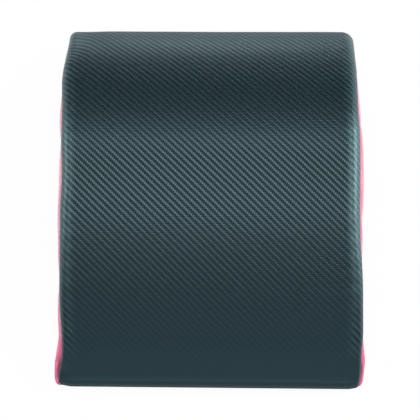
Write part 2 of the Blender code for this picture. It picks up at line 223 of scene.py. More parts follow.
paper = Finish("studio_paper", Base_Color=PAPER, Roughness=1.0, Specular_IOR_Level=0.0)
glow = paper.node("ShaderNodeEmission", values={"Color": WHITE, "Strength": 1.0})
rays = paper.node("ShaderNodeLightPath").socket.node
seen = (Wire(paper, rays.outputs["Is Camera Ray"]) * SEEN_WHITE).maths(
    "MAXIMUM", Wire(paper, rays.outputs["Is Glossy Ray"])).maths(
    "MAXIMUM", Wire(paper, rays.outputs["Is Transmission Ray"]))
lit = Wire(paper, paper.shader.outputs[0])
mixed = paper.node("ShaderNodeMixShader", values={0: seen, 1: lit, 2: glow})
paper.feed(paper.tree.nodes["Material Output"].inputs["Surface"], mixed)
paper.dress(studio_floor)
print("floor reaches", SWEEP_RADIUS, "m")

# %% Lamps and sky
LAMP_SIZE = 1.3
LAMP_HEIGHT = 1.6
LAMP_BEHIND = 0.20
LAMP_POWER = 19.4
SIDE_LAMP_SIZE = 0.9
SIDE_LAMPS = (((-1.5, 0.4, 0.8), 12.0), ((1.5, 0.4, 0.8), 20.0))
BACK_LAMP = (0.0, 1.9, 0.12)
BACK_LAMP_SIZE = 0.5
BACK_LAMP_POWER = 2.8
SKY_LEVEL = 0.16


def softbox(name, place, size, power):
    """A square lamp that faces the mat."""
    bpy.ops.object.light_add(type="AREA", location=place)
    lamp = bpy.context.object
    lamp.name = name
    lamp.rotation_euler = Vector(place).to_track_quat("Z", "Y").to_euler()
    lamp.data.shape = "SQUARE"
    lamp.data.size = size
    lamp.data.energy = power


softbox("overhead_softbox", (0.0, LAMP_BEHIND, LAMP_HEIGHT), LAMP_SIZE, LAMP_POWER)
for place, power in SIDE_LAMPS:
    softbox("side_softbox", place, SIDE_LAMP_SIZE, power)
softbox("back_softbox", BACK_LAMP, BACK_LAMP_SIZE, BACK_LAMP_POWER)

sky = bpy.data.worlds.new("studio_sky")
bpy.context.scene.world = sky
sky.use_nodes = True
sky_nodes = sky.node_tree
grey_sky = sky_nodes.nodes["Background"]
grey_sky.inputs["Color"].default_value = WHITE
grey_sky.inputs["Strength"].default_value = SKY_LEVEL
white_sky = sky_nodes.nodes.new("ShaderNodeBackground")
white_sky.inputs["Color"].default_value = WHITE
sky_rays = sky_nodes.nodes.new("ShaderNodeLightPath")
sky_mix = sky_nodes.nodes.new("ShaderNodeMixShader")
sky_nodes.links.new(sky_rays.outputs["Is Camera Ray"], sky_mix.inputs[0])
sky_nodes.links.new(grey_sky.outputs[0], sky_mix.inputs[1])
sky_nodes.links.new(white_sky.outputs[0], sky_mix.inputs[2])
sky_nodes.links.new(sky_mix.outputs[0], sky_nodes.nodes["World Output"].inputs["Surface"])
print("overhead lamp of", LAMP_POWER, "W over a sky of", SKY_LEVEL)

# %% [markdown]
# ## The dome's side line
# The CAD model bends every cover piece along one side profile: a small nose at the thin end, a long
# ramp, the crown, a steeper rear slope, and a short wall that holds the zip. Its sizes are repeated
# here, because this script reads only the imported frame. Arcs and two curves make it one fine line of
# points, on which the place of any distance along the cloth can be looked up.

# %% Sizes of the cover
MAT_LENGTH = 379.0 * MM
HALF_WIDTH = 150.0 * MM
DOME_HEIGHT = 79.0 * MM
HARDWARE_PROUD = 2.4 * MM
WIDTH_CROWN = 1.0 * MM
LEATHER = 1.5 * MM
BASE_THICKNESS = 2.0 * MM
COVER_FOOT = 2.3 * MM
NOSE_RADIUS = 6.0 * MM
NOSE_WALL = 4.2 * MM
TAIL_RADIUS = 10.0 * MM
REAR_WALL = 21.5 * MM
FRONT_SLOPE = math.radians(21)
REAR_SLOPE = math.radians(44)
FRONT_Y = -(MAT_LENGTH + HARDWARE_PROUD) / 2
REAR_Y = FRONT_Y + MAT_LENGTH
HEM_RADIUS = 0.8 * MM
CROWN_SHARE = 0.615
FRONT_HANDLE_SHARES = (0.50, 0.34)
REAR_HANDLE_SHARES = (0.38, 0.28)
NORMAL_STEP = 0.2 * MM


# %% The profile as one fine line
def arc_points(centre, radius, first, last, count=24):
    angles = np.linspace(first, last, count)
    return np.stack([centre[0] + radius * np.cos(angles), centre[1] + radius * np.sin(angles)], axis=1)


def curve_points(start, start_handle, end_handle, end):
    t = np.linspace(0.0, 1.0, 160)[:, None]
    r = 1 - t
    return start * r**3 + start_handle * 3 * r**2 * t + end_handle * 3 * r * t**2 + end * t**3


def dome_line():
    """Points (y, z) of the cover's outer face, from the hem of the nose to the foot of the rear wall."""
    hem = arc_points((FRONT_Y + HEM_RADIUS, COVER_FOOT + HEM_RADIUS), HEM_RADIUS, -math.pi / 2, -math.pi, 8)
    nose = arc_points((FRONT_Y + NOSE_RADIUS, COVER_FOOT + NOSE_WALL), NOSE_RADIUS,
                      math.pi, math.pi / 2 + FRONT_SLOPE)
    tail = arc_points((REAR_Y - TAIL_RADIUS, REAR_WALL), TAIL_RADIUS, math.pi / 2 - REAR_SLOPE, 0.0)
    crown = np.array([FRONT_Y + CROWN_SHARE * MAT_LENGTH, DOME_HEIGHT])
    uphill = np.array([math.cos(FRONT_SLOPE), math.sin(FRONT_SLOPE)])
    downhill = np.array([math.cos(REAR_SLOPE), -math.sin(REAR_SLOPE)])
    level = np.array([1.0, 0.0])
    leave, arrive = [share * (crown[0] - nose[-1][0]) for share in FRONT_HANDLE_SHARES]
    front = curve_points(nose[-1], nose[-1] + uphill * leave, crown - level * arrive, crown)
    leave, arrive = [share * (tail[0][0] - crown[0]) for share in REAR_HANDLE_SHARES]
    rear = curve_points(crown, crown + level * leave, tail[0] - downhill * arrive, tail[0])
    foot = np.array([[REAR_Y, COVER_FOOT]])
    line = np.concatenate([hem, nose, front[1:], rear[1:], tail[1:], foot])
    keep = np.r_[True, np.linalg.norm(np.diff(line, axis=0), axis=1) > 1e-6]
    return line[keep]


LINE = dome_line()
LINE_RUN = np.r_[0.0, np.cumsum(np.linalg.norm(np.diff(LINE, axis=0), axis=1))]
CLOTH_LENGTH = LINE_RUN[-1]
REAR_WALL_RUN = CLOTH_LENGTH - (REAR_WALL - COVER_FOOT)
print("cloth over the dome:", round(CLOTH_LENGTH / MM, 1), "mm")


def line_place(run):
    """Where a distance along the cloth lies: y, z and the outward normal, for an array of distances."""
    def at(distance):
        inside = np.clip(distance, 0.0, CLOTH_LENGTH)
        return np.array([np.interp(inside, LINE_RUN, LINE[:, axis]) for axis in (0, 1)])

    y, z = at(run)
    along_y, along_z = at(run + NORMAL_STEP) - at(run - NORMAL_STEP)
    size = np.hypot(along_y, along_z)
    return y, z, -along_z / size, along_y / size


# %% [markdown]
# ## How a hand-sewn cover departs from its drawing
# A sewn cushion is never as regular as its pattern. Its edges roll over tightly at the thin end and
# softly over the dome, they wander by a millimetre or two, and the sides puff where the seam leaves
# slack. Tables for the left (-1) and the right (1) give this at a few stops, with a smooth
# run from each to the next, all in millimetres: the roll's stops lie along the cloth, the wander's and
# the puff's along the mat. The crest of the steep end wavers too, by a table whose stops lie across the
# mat, and the corners of the thin end are drawn back and in. One function bends every soft piece in the
# same way, so that the pieces still fit each other.

# %% The cover's own irregularities
ROLL_RADII = {
    -1: {0: 2.2, 14: 3.4, 90: 7.5, 200: 10.0, 330: 10.5, 400: 8.5, 435: 7.5},
    1: {0: 3.6, 14: 4.2, 90: 7.5, 200: 10.0, 330: 10.5, 400: 12.5, 435: 13.5},
}
EDGE_WANDER = {
    -1: {-190: 2.2, -158: -2.0, -108: 0.8, -30: 0.7, 12: -0.6, 55: 0.8, 85: 1.1, 118: 2.3, 180: -2.5},
    1: {-190: 0.0, -165: 1.3, -137: 3.2, -105: 3.0, -31: -0.2, 55: 0.9, 85: 0.0, 130: 0.0, 160: -0.5},
}
SIDE_PUFF = {
    -1: {-190: 4.0, -163: 7.6, -135: 4.0, -83: 2.3, 12: 4.5, 55: 2.8, 82: 3.6, 119: 0.6, 155: 1.2, 188: 0.4},
    1: {-190: 3.6, -162: 4.4, -132: 0.6, -85: 0.6, -31: 4.8, 12: 5.3, 75: 4.7, 134: 2.2, 160: 0.6},
}
REAR_CREST = {-145: -0.3, -132: -1.0, -104: 0.7, -60: 0.0, 5: -0.6, 80: 0.1, 112: 0.8, 132: 0.8, 146: 0.0}
CREST_Y = (150.0 * MM, 180.0 * MM)
CREST_Z = (22.0 * MM, 32.0 * MM)
WANDER_FROM = 100.0 * MM
FRONT_SKEW = 1.1 * MM
SKEW_RUN = (60.0 * MM, 180.0 * MM)
CORNER_SIZE = 12.0 * MM
CORNER_REACH = 1.0 * MM
CORNER_BACK = 1.8 * MM
CORNER_IN = 1.0 * MM


def smooth(value, low, high):
    share = np.clip((value - low) / (high - low), 0.0, 1.0)
    return share * share * (3 - 2 * share)


def eased(table, place):
    """A table's value at a place, both in metres, with a smooth run from each of its stops to the next."""
    values = np.array(list(table.values()))
    share = np.interp(place / MM, list(table), np.arange(len(values)))
    stop = np.minimum(share.astype(int), len(values) - 2)
    part = smooth(share - stop, 0.0, 1.0)
    return (values[stop] * (1 - part) + values[stop + 1] * part) * MM


def by_side(table, x, place):
    """A value from the left or the right table, by the sign of x."""
    return np.where(x < 0, eased(table[-1], place), eased(table[1], place))


def sewn(points):
    """Bends ideal points into the sewn shape: wandering edges, a skewed front and drawn-in corners."""
    x, y, z = points.T.copy()
    side = np.sign(x)
    x += side * by_side(EDGE_WANDER, x, y) * smooth(np.abs(x), WANDER_FROM, HALF_WIDTH)
    corner = smooth(np.abs(x), HALF_WIDTH - CORNER_SIZE, HALF_WIDTH + CORNER_REACH)
    corner *= smooth(FRONT_Y + CORNER_SIZE - y, 0.0, CORNER_SIZE)
    y += eased(REAR_CREST, x) * smooth(y, *CREST_Y) * smooth(z, *CREST_Z)
    y -= FRONT_SKEW * x / HALF_WIDTH * smooth(-y, *SKEW_RUN)
    y += CORNER_BACK * corner
    x -= side * CORNER_IN * corner
    return np.stack([x, y, z], axis=1)


print("edge wanders by", EDGE_WANDER[-1][-158], "to", EDGE_WANDER[1][-137], "mm near the front")

# %% [markdown]
# ## Cloth on a grid
# A woven sheet is a grid, so each sheet starts as Blender's grid primitive, whose lines are then laid
# along the pattern piece. The distances along the cloth are kept as its UV map, in metres, so a weave
# can follow the cloth round every bend at its true size. Only a side panel's height is kept as a share.


# %% A sheet laid along its pattern
def vertex_points(mesh):
    """A mesh's vertices as rows of x, y and z."""
    points = np.empty(len(mesh.vertices) * 3)
    mesh.vertices.foreach_get("co", points)
    return points.reshape(-1, 3)


def laid_sheet(name, across, along, place):
    """A grid with the given lines across and along; place gives each crossing's point and its UV."""
    deselect()
    columns, rows = len(across) - 1, len(along) - 1
    bpy.ops.mesh.primitive_grid_add(x_subdivisions=columns, y_subdivisions=rows, size=1.0)
    piece = bpy.context.object
    piece.name = piece.data.name = name
    mesh = piece.data
    flat = vertex_points(mesh)
    u = np.asarray(across)[np.rint((flat[:, 0] + 0.5) * columns).astype(int)]
    v = np.asarray(along)[np.rint((flat[:, 1] + 0.5) * rows).astype(int)]
    points, cloth = place(u, v)
    mesh.vertices.foreach_set("co", points.ravel())
    corner = np.empty(len(mesh.loops), dtype=int)
    mesh.loops.foreach_get("vertex_index", corner)
    mesh.uv_layers.active.data.foreach_set("uv", np.stack(cloth, axis=1)[corner].ravel())
    mesh.update()
    bpy.ops.object.shade_smooth()
    return piece


def spread(start, *stretches):
    """Values from the start on; each stretch has an end and about the step that fills it evenly."""
    found = [start]
    for end, step in stretches:
        count = max(1, round((end - start) / step))
        found += [start + (end - start) * index / count for index in range(1, count + 1)]
        start = end
    return found


def mirrored(stops):
    """Stops from zero on, with the same ones on the negative side."""
    return [-stop for stop in reversed(stops[1:])] + stops


print("sheets can be laid")

# %% [markdown]
# A laid sheet has no thickness yet. A Solidify modifier adds it on the inner side, so the outer face
# stays where it is, and a bevel rounds the cut edges. After that the frame is told which body the piece
# rides on, and the CAD pieces whose place it takes are hidden.

# %% Thickness, and what a piece belongs to
CUT_EDGE = 0.35 * MM


def apply_all(piece):
    """Applies a piece's modifiers in their order."""
    select_only(piece)
    for change in list(piece.modifiers):
        bpy.ops.object.modifier_apply(modifier=change.name)


def add_bevel(piece, width, segments, degrees):
    """A bevel that rounds the edges sharper than an angle."""
    rounding = piece.modifiers.new("Rounding", "BEVEL")
    rounding.width = width
    rounding.segments = segments
    rounding.limit_method = "ANGLE"
    rounding.angle_limit = math.radians(degrees)


def thicken(piece, thickness, edge=CUT_EDGE):
    """Gives a sheet its thickness on the inner side, and rounds its cut edges."""
    wall = piece.modifiers.new("Thickness", "SOLIDIFY")
    wall.thickness = thickness
    wall.offset = -1.0
    add_bevel(piece, edge, 2, 60)
    apply_all(piece)


def belongs(piece, body, slot, *nodes):
    """Tells the frame a piece's body, and hides the CAD nodes whose place it takes. The slot is not used."""
    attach(piece, body)
    if nodes:
        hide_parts(*nodes)


print("sheets get an edge of", CUT_EDGE / MM, "mm")

# %% [markdown]
# ## The embossed top
# The top is one length of leatherette, from the hem under the nose, over the dome, and down the rear
# wall to the zip. It rolls over both sides into the seam, where it tucks in. Tension lines run
# from the seam for a centimetre or so, as the thread draws the cloth in. The window for the zip is cut
# as a tailor would, in the flat cloth: the faces whose UVs lie inside it are deleted.

# %% Top cover
ROLL_TURN = math.radians(104)
DEEPEST_SEAM = 9.0 * MM
TUCK = 1.6 * MM
TUCK_IN_SHARE = 0.85
TUCK_DOWN_SHARE = 0.35
RIPPLE_LENGTHS = (3.1 * MM, 23.0 * MM, 7.7 * MM)
RIPPLE_HEIGHT = 0.22 * MM
RIPPLE_REACH = 8.0 * MM
RIPPLE_START = 3.0 * MM
STRAIGHT_HALF = 125.0 * MM
ZIP_Z = 11.3 * MM
WINDOW_HALF = 4.7 * MM
WINDOW_HALF_LENGTH = 122.0 * MM
WIDE_STEP = 2.5 * MM
BEND_STEP = 1.2 * MM
NOSE_STEP = 0.8 * MM
WINDOW_STEP = 1.9 * MM


def roll_at(x, run):
    """The rolled edge's radius, its turn and the depth of the seam below the dome's line."""
    radius = by_side(ROLL_RADII, x, run)
    depth = np.minimum(radius * (1 - math.cos(ROLL_TURN)), DEEPEST_SEAM)
    return radius, np.arccos(1 - depth / radius), depth


def level_reach(zone, radius):
    """How far from the middle the level cloth reaches, in zones 0 to 2."""
    return (np.minimum(zone, 1.0) * STRAIGHT_HALF
            + np.clip(zone - 1, 0.0, 1.0) * (HALF_WIDTH - radius - STRAIGHT_HALF))


def width_crown(flat, normal_z):
    """The dome's slight rise from its sides to its middle."""
    return WIDTH_CROWN * (1 - np.square(flat / HALF_WIDTH)) * np.maximum(normal_z, 0.0)


def pucker(side, run, reach):
    """The seam's tension lines: shallow ripples that die out a centimetre from the seam."""
    short, slow, broad = (run / length for length in RIPPLE_LENGTHS)
    phase = 1.3 if side > 0 else 0.0
    ripple = np.sin(short + phase + 1.7 * np.sin(slow + phase)) * 0.55
    ripple += np.sin(broad + 2.1 * phase) * 0.45
    return ripple * RIPPLE_HEIGHT * np.exp(-np.square(reach / RIPPLE_REACH))


def top_place(u, v):
    """Lays the top's cloth over the dome.

    v runs along from the hem. u counts zones from the middle: 0 to 1 is the stretch of fixed lines,
    1 to 2 the stretch up to the roll, 2 to 3 the roll, and 3 to 4 the tuck into the seam.
    """
    y, z = line_place(v)[:2]
    normal_y, normal_z = line_place(np.maximum(v, 2 * HEM_RADIUS))[2:]
    zone = np.abs(u)
    radius, turn, _ = roll_at(u, v)
    flat = level_reach(zone, radius)
    angle = np.clip(zone - 2, 0.0, 1.0) * turn
    tuck = np.clip(zone - 3, 0.0, 1.0) * TUCK
    x = flat + radius * np.sin(angle) - tuck * TUCK_IN_SHARE
    lift = radius * (np.cos(angle) - 1) - tuck * TUCK_DOWN_SHARE + width_crown(flat, normal_z)
    reach = np.maximum(HALF_WIDTH - radius + RIPPLE_START - flat - radius * angle, 0.0)
    for side in (-1, 1):
        lift += np.where(np.sign(u) == side, pucker(side, v, reach), 0.0) * (tuck <= 0)
    points = sewn(np.stack([np.sign(u) * x, y + normal_y * lift, z + normal_z * lift], axis=1))
    return points, (np.sign(u) * (flat + radius * angle + tuck), v)


fixed_stops = spread(0.0, (WINDOW_HALF_LENGTH, WIDE_STEP), (STRAIGHT_HALF, WIDE_STEP))
zone_stops = spread(1.0, (2.0, 0.14), (3.0, 0.1), (4.0, 0.5))
top_across = mirrored([stop / STRAIGHT_HALF for stop in fixed_stops] + zone_stops[1:])
window_top = CLOTH_LENGTH - (ZIP_Z + WINDOW_HALF - COVER_FOOT)
top_foot = CLOTH_LENGTH - (ZIP_Z - WINDOW_HALF - COVER_FOOT)
nose_run = float(np.interp(FRONT_Y + NOSE_RADIUS, LINE[:, 0], LINE_RUN))
top_along = [0.0, 0.6 * MM, 1.3 * MM] + spread(
    2.0 * MM, (5.6 * MM, NOSE_STEP), (nose_run + 2 * MM, NOSE_STEP), (REAR_WALL_RUN - 14 * MM, WIDE_STEP),
    (REAR_WALL_RUN, BEND_STEP), (window_top, BEND_STEP), (top_foot, WINDOW_STEP))
cover_top = laid_sheet("cover_top", top_across, top_along, top_place)
print("top cover:", len(top_across), "by", len(top_along), "grid lines")

# %% Window for the zip
work = bmesh.new()
work.from_mesh(cover_top.data)
uv_map = work.loops.layers.uv.active
opening = []
for face in work.faces:
    middle_u = sum(loop[uv_map].uv.x for loop in face.loops) / len(face.loops)
    middle_v = sum(loop[uv_map].uv.y for loop in face.loops) / len(face.loops)
    if abs(middle_u) < WINDOW_HALF_LENGTH and middle_v > window_top:
        opening.append(face)
bmesh.ops.delete(work, geom=opening, context="FACES")
work.to_mesh(cover_top.data)
work.free()
thicken(cover_top, LEATHER)
belongs(cover_top, "mat", "embossed_leatherette", "top_panel")
print("window of", len(opening), "faces; cover now has", len(cover_top.data.polygons), "faces")

# %% [markdown]
# The strip between the zip and the base is the same leatherette. It stands on the hem and closes the
# foot of the rear wall.

# %% Rear facing
FACING_GAP = 0.3 * MM
FACING_TOP = ZIP_Z - WINDOW_HALF - FACING_GAP
facing_along = spread(CLOTH_LENGTH - (FACING_TOP - COVER_FOOT), (CLOTH_LENGTH, NOSE_STEP))
cover_facing = laid_sheet("cover_facing", top_across, facing_along, top_place)
thicken(cover_facing, LEATHER)
belongs(cover_facing, "mat", "embossed_leatherette", "rear_facing")
print("facing of", len(cover_facing.data.polygons), "faces")

# %% [markdown]
# ## The pink sides
# Each side is a strip of leatherette over thin wadding. Its seam with the top ends where the rear wall
# starts, its tip reaches forward at the nose, and both of its ends are rounded. Inside that outline the
# cloth is free to puff, so the strip is a cloth simulation: its rim is pinned, air presses from inside,
# and no point may move further than the slack allows. Only outward moves are kept, so that the strip
# doesn't sink into the foam.

# %% Outline of the sides
SEAM_INSET = 1.9 * MM
FOOT_INSET = 0.8 * MM
SEAM_ROOM = 0.35 * MM
FRONT_ROUND = 6.0 * MM
REAR_ROUND = 4.5 * MM
TIP_REACH = 3.8 * MM
TIP_LENGTH = 14.0 * MM
PUFF_POWER = 0.62
SEAM_START = 3.0 * MM
LOWEST_SEAM = 0.8 * MM
FOOT_LAP = 0.1 * MM


def seam_line(side):
    """The seam between top and side, as distances along it with its y and z."""
    runs = np.linspace(SEAM_START, REAR_WALL_RUN, 900)
    y, z, normal_y, normal_z = line_place(runs)
    depth = roll_at(np.full_like(runs, side), runs)[2] + SEAM_ROOM
    y, z = y - normal_y * depth, z - normal_z * depth
    run = np.r_[0.0, np.cumsum(np.hypot(np.diff(y), np.diff(z)))]
    return run, y, z


SEAMS = {side: seam_line(side) for side in (-1, 1)}


def side_place(side, puff_share):
    """Lays a side strip: u up from the base as a share, v along the seam."""
    seam_run, seam_y, seam_z = SEAMS[side]
    foot_x, seam_x = HALF_WIDTH - FOOT_INSET, HALF_WIDTH - SEAM_INSET

    def place(u, v):
        y = np.interp(v, seam_run, seam_y) - TIP_REACH * np.square(1 - np.clip(v / TIP_LENGTH, 0.0, 1.0))
        top = np.maximum(np.interp(v, seam_run, seam_z), COVER_FOOT + LOWEST_SEAM)
        z = COVER_FOOT - FOOT_LAP + (top - COVER_FOOT) * u
        puff = by_side(SIDE_PUFF, np.full_like(y, side), y) + FOOT_INSET
        to_end = np.minimum(v / FRONT_ROUND, (seam_run[-1] - v) / REAR_ROUND)
        round_end = np.sqrt(1 - np.square(1 - np.clip(to_end, 0.0, 1.0)))
        rise = np.sin(np.pi * np.clip(u, 0.0, 1.0)) ** PUFF_POWER
        x = foot_x + (seam_x - foot_x) * u + puff * rise * round_end * puff_share
        return np.stack([side * x, y, z], axis=1), (u, v)
    return place


print("side seams of", [round(float(seam[0][-1]) / MM, 1) for seam in SEAMS.values()], "mm")

# %% Air pressure
SIM_FRAMES = 20
SIM_QUALITY = 6
AIR_PRESSURE = 4.0
SLACK_SHARE = 0.015


def press_from_inside(piece, side, cap):
    """Blender's cloth: pinned rim, air pressure, no gravity; then every point's move is capped."""
    start = vertex_points(piece.data)
    pins = piece.vertex_groups.new(name="sewn")
    work = bmesh.new()
    work.from_mesh(piece.data)
    pins.add([vert.index for vert in work.verts if vert.is_boundary], 1.0, "REPLACE")
    work.free()
    cloth = piece.modifiers.new("Cloth", "CLOTH")
    cloth.settings.vertex_group_mass = "sewn"
    cloth.settings.use_pressure = True
    cloth.settings.uniform_pressure_force = AIR_PRESSURE
    cloth.settings.effector_weights.gravity = 0.0
    cloth.settings.shrink_min = -SLACK_SHARE
    cloth.settings.quality = SIM_QUALITY
    cloth.point_cache.frame_start = 1
    cloth.point_cache.frame_end = SIM_FRAMES
    for number in range(1, SIM_FRAMES + 1):
        bpy.context.scene.frame_set(number)
    ready = piece.evaluated_get(bpy.context.evaluated_depsgraph_get())
    move = vertex_points(ready.data) - start
    move[:, 0] = side * np.maximum(side * move[:, 0], 0.0)
    size = np.linalg.norm(move, axis=1)
    piece.modifiers.remove(cloth)
    bpy.context.scene.frame_set(1)
    limited = move * (cap * np.tanh(size / cap) / np.maximum(size, 1e-9))[:, None]
    piece.data.vertices.foreach_set("co", (start + limited).ravel())
    piece.data.update()
    return size.max()


print("air will press for", SIM_FRAMES, "frames")

# %% Side panels
SIDE_LEATHER = 1.4 * MM
SIDE_EDGE = 0.2 * MM
PUFF_START = 0.95
PUFF_CAP = 1.2 * MM


def side_panel(hand, side):
    end = float(SEAMS[side][0][-1])
    along = spread(0.0, (TIP_LENGTH, 1.4 * MM), (end - 2 * REAR_ROUND, 2.4 * MM), (end, 0.9 * MM))
    if side > 0:
        along = along[::-1]
    share = PUFF_START
    panel = laid_sheet("cover_side_" + hand, spread(0.0, (1.0, 1 / 26)), along, side_place(side, share))
    pushed = press_from_inside(panel, side, PUFF_CAP)
    panel.data.vertices.foreach_set("co", sewn(vertex_points(panel.data)).ravel())
    middle = panel.data.polygons[len(panel.data.polygons) // 2]
    if middle.normal.x * side < 0:
        panel.data.flip_normals()
    thicken(panel, SIDE_LEATHER, SIDE_EDGE)
    belongs(panel, "mat", "pink_leatherette", "side_panel_" + hand)
    print(hand, "panel pushed out by", round(float(pushed) / MM, 2), "mm before the cap")
    return panel


panels = [side_panel("left", -1), side_panel("right", 1)]

# %% [markdown]
# ## The base cloth
# Under the mat lies a flat, non-slip cloth, cut a millimetre inside the cover's foot and sewn to it. It
# is a sheet like the others, laid level, with its lines close together near its edges, where the corners
# are round. It passes through the same function as the cover, so that those corners stay under the
# cover's.

# %% Base cloth
BASE_INSET = 1.0 * MM
BASE_CORNER = 15.0 * MM
BASE_EDGE = 0.7 * MM
CORNER_STEP = 1.3 * MM
LEVEL_STEP = 5.0 * MM


def base_place(u, v):
    """Lays the base flat, with corners as round as the cover's rolled edges are there."""
    x, y = u.copy(), v.copy()
    for side in (-1, 1):
        for end, run in ((-1, 0.0), (1, CLOTH_LENGTH)):
            radius = float(by_side(ROLL_RADII, side, run))
            corner_x = side * (HALF_WIDTH - radius)
            corner_y = FRONT_Y + radius if end < 0 else REAR_Y - radius
            out_x, out_y = side * (x - corner_x), end * (y - corner_y)
            cut = (out_x > 0) & (out_y > 0)
            pull = np.maximum(out_x, out_y)[cut] / np.maximum(np.hypot(out_x, out_y)[cut], 1e-9)
            x[cut] = corner_x + side * out_x[cut] * pull
            y[cut] = corner_y + end * out_y[cut] * pull
    return sewn(np.stack([x, y, np.full_like(x, BASE_THICKNESS)], axis=1)), (u, v)


def edged(low, high):
    """Stops over a length, close together near both ends."""
    near, far = low + BASE_CORNER, high - BASE_CORNER
    return spread(low, (near, CORNER_STEP), (far, LEVEL_STEP), (high, CORNER_STEP))


base_half = HALF_WIDTH - BASE_INSET
base_ends = (FRONT_Y + BASE_INSET, REAR_Y - BASE_INSET)
base_flat = (2 * base_half, base_ends[1] - base_ends[0])
base_cloth = laid_sheet("base_cloth", edged(-base_half, base_half), edged(*base_ends), base_place)
thicken(base_cloth, BASE_THICKNESS, BASE_EDGE)
belongs(base_cloth, "mat", "non_slip_cloth", "base_panel")
print("base cloth", round(base_flat[0] / MM), "by", round(base_flat[1] / MM), "mm")

# %% [markdown]
# ## Modelling by hand, in code
# The pieces that follow are modelled as a person would: a block is added at its size and place, then
# faces are picked, extruded, inset and scaled, and a bevel rounds the result. A face or an edge is
# picked by where it lies, with a test on its middle.

# %% Blocks and picking
def block(name, low, high):
    """A cube primitive that reaches from the lowest to the highest corner, with its place in its mesh."""
    low, high = Vector(low), Vector(high)
    deselect()
    bpy.ops.mesh.primitive_cube_add(size=1.0, location=(low + high) / 2, scale=high - low)
    piece = bpy.context.object
    piece.name = piece.data.name = name
    bpy.ops.object.transform_apply(location=True, rotation=True, scale=True)
    return piece


def start_edit(piece):
    select_only(piece)
    bpy.ops.object.mode_set(mode="EDIT")


def leave_edit():
    bpy.ops.object.mode_set(mode="OBJECT")


def pick_all():
    bpy.ops.mesh.select_all(action="SELECT")


def pick(test, kind="faces"):
    """Selects the faces, edges or verts of the edited piece whose middle passes a test."""
    bpy.context.tool_settings.mesh_select_mode = [mode == kind for mode in ("verts", "edges", "faces")]
    bpy.ops.mesh.select_all(action="DESELECT")
    mesh = bpy.context.object.data
    work = bmesh.from_edit_mesh(mesh)
    for item in getattr(work, kind):
        corners = [item.co] if kind == "verts" else [vert.co for vert in item.verts]
        if test(sum(corners, Vector()) / len(corners), item):
            item.select_set(True)
    bmesh.update_edit_mesh(mesh)


def runs_along_x(middle, edge):
    return abs((edge.verts[0].co - edge.verts[1].co).x) > MM


def grow(x=0.0, y=0.0, z=0.0):
    bpy.ops.mesh.extrude_region_move(TRANSFORM_OT_translate={"value": (x, y, z)})


def scaled(x=1.0, y=1.0, z=1.0, about=(0.0, 0.0, 0.0)):
    bpy.ops.transform.resize(value=(x, y, z), center_override=about)


print("blocks can be picked and grown")

# %% [markdown]
# Four ways to end the work on a piece come back below: a bevel, a Boolean with other blocks, an Array
# that repeats it, and a casting's skin. The zip's slider and pull are castings, whose corners are soft,
# so both are covered with a fine, even skin, which is smoothed a little.

# %% Ends of the work on a piece
SMOOTH_BELOW = math.radians(40)
SKIN_VOXEL = 0.12 * MM
SKIN_ROUNDS = 3


def end_edit(piece, bevel, segments=2, degrees=35):
    """Leaves edit mode; a bevel rounds the edges that are sharper than the angle."""
    leave_edit()
    add_bevel(piece, bevel, segments, degrees)
    apply_all(piece)
    bpy.ops.object.shade_smooth_by_angle(angle=SMOOTH_BELOW)
    return piece


def cast(piece):
    """Gives a casting its fine, even skin, with softened corners."""
    skin = piece.modifiers.new("Skin", "REMESH")
    skin.mode = "VOXEL"
    skin.voxel_size = SKIN_VOXEL
    skin.use_smooth_shade = True
    soften = piece.modifiers.new("Soften", "SMOOTH")
    soften.factor = 0.5
    soften.iterations = SKIN_ROUNDS
    apply_all(piece)


def combine(operation, target, *tools):
    """A Boolean of closed pieces with the target, which alone is kept."""
    for tool in tools:
        change = target.modifiers.new("Combine", "BOOLEAN")
        change.operation = operation
        change.object = tool
    apply_all(target)
    for tool in tools:
        bpy.data.objects.remove(tool)


def repeat_along_x(piece, pitch, count):
    """An Array lays a row of one modelled piece."""
    row = piece.modifiers.new("Row", "ARRAY")
    row.use_relative_offset = False
    row.use_constant_offset = True
    row.constant_offset_displace = (pitch, 0.0, 0.0)
    row.count = count
    apply_all(piece)


print("castings get a skin of", SKIN_VOXEL / MM, "mm")

# %% [markdown]
# ## The foam block
# The cover is filled with one block of firm foam, cut a little smaller than the cover. Nobody sees it,
# but whoever opens the zip finds it, so it has its true shape: the dome's line one leatherette deeper,
# flat sides with a little room for the side panels, and a long notch that leaves room for the zip. Its
# skin is laid as the top is, faces close its sides and its bottom, and a Boolean cuts the notch.

# %% Foam block
FOAM_GAP = 0.5 * MM
FOAM_DEPTH = LEATHER + FOAM_GAP
FOAM_START = HEM_RADIUS * 1.5
FOAM_STEP = 4.0 * MM
FOAM_SIDE = STRAIGHT_HALF + 5.0 * MM
FOAM_FOOT = COVER_FOOT + 0.01 * MM
FOAM_SIDE_ROOM = 1.8 * MM
NOTCH_DEPTH = 6.6 * MM
NOTCH_HALF = 128.6 * MM
NOTCH_TOP = 20.9 * MM


def foam_place(u, v):
    """Lays the foam's skin: u in zones as for the top cover, up to the side at 3."""
    y, z, normal_y, normal_z = line_place(v)
    zone = np.abs(u)
    radius = roll_at(u, v)[0]
    inner = radius - FOAM_DEPTH
    flat = level_reach(zone, radius)
    angle = np.clip(zone - 2, 0.0, 1.0) * math.pi / 2
    x = flat + (inner - FOAM_SIDE_ROOM) * np.sin(angle)
    lift = width_crown(flat, normal_z) + inner * (np.cos(angle) - 1) - FOAM_DEPTH
    z = np.maximum(z + normal_z * lift, COVER_FOOT)
    return sewn(np.stack([np.sign(u) * x, y + normal_y * lift, z], axis=1)), (u, v)


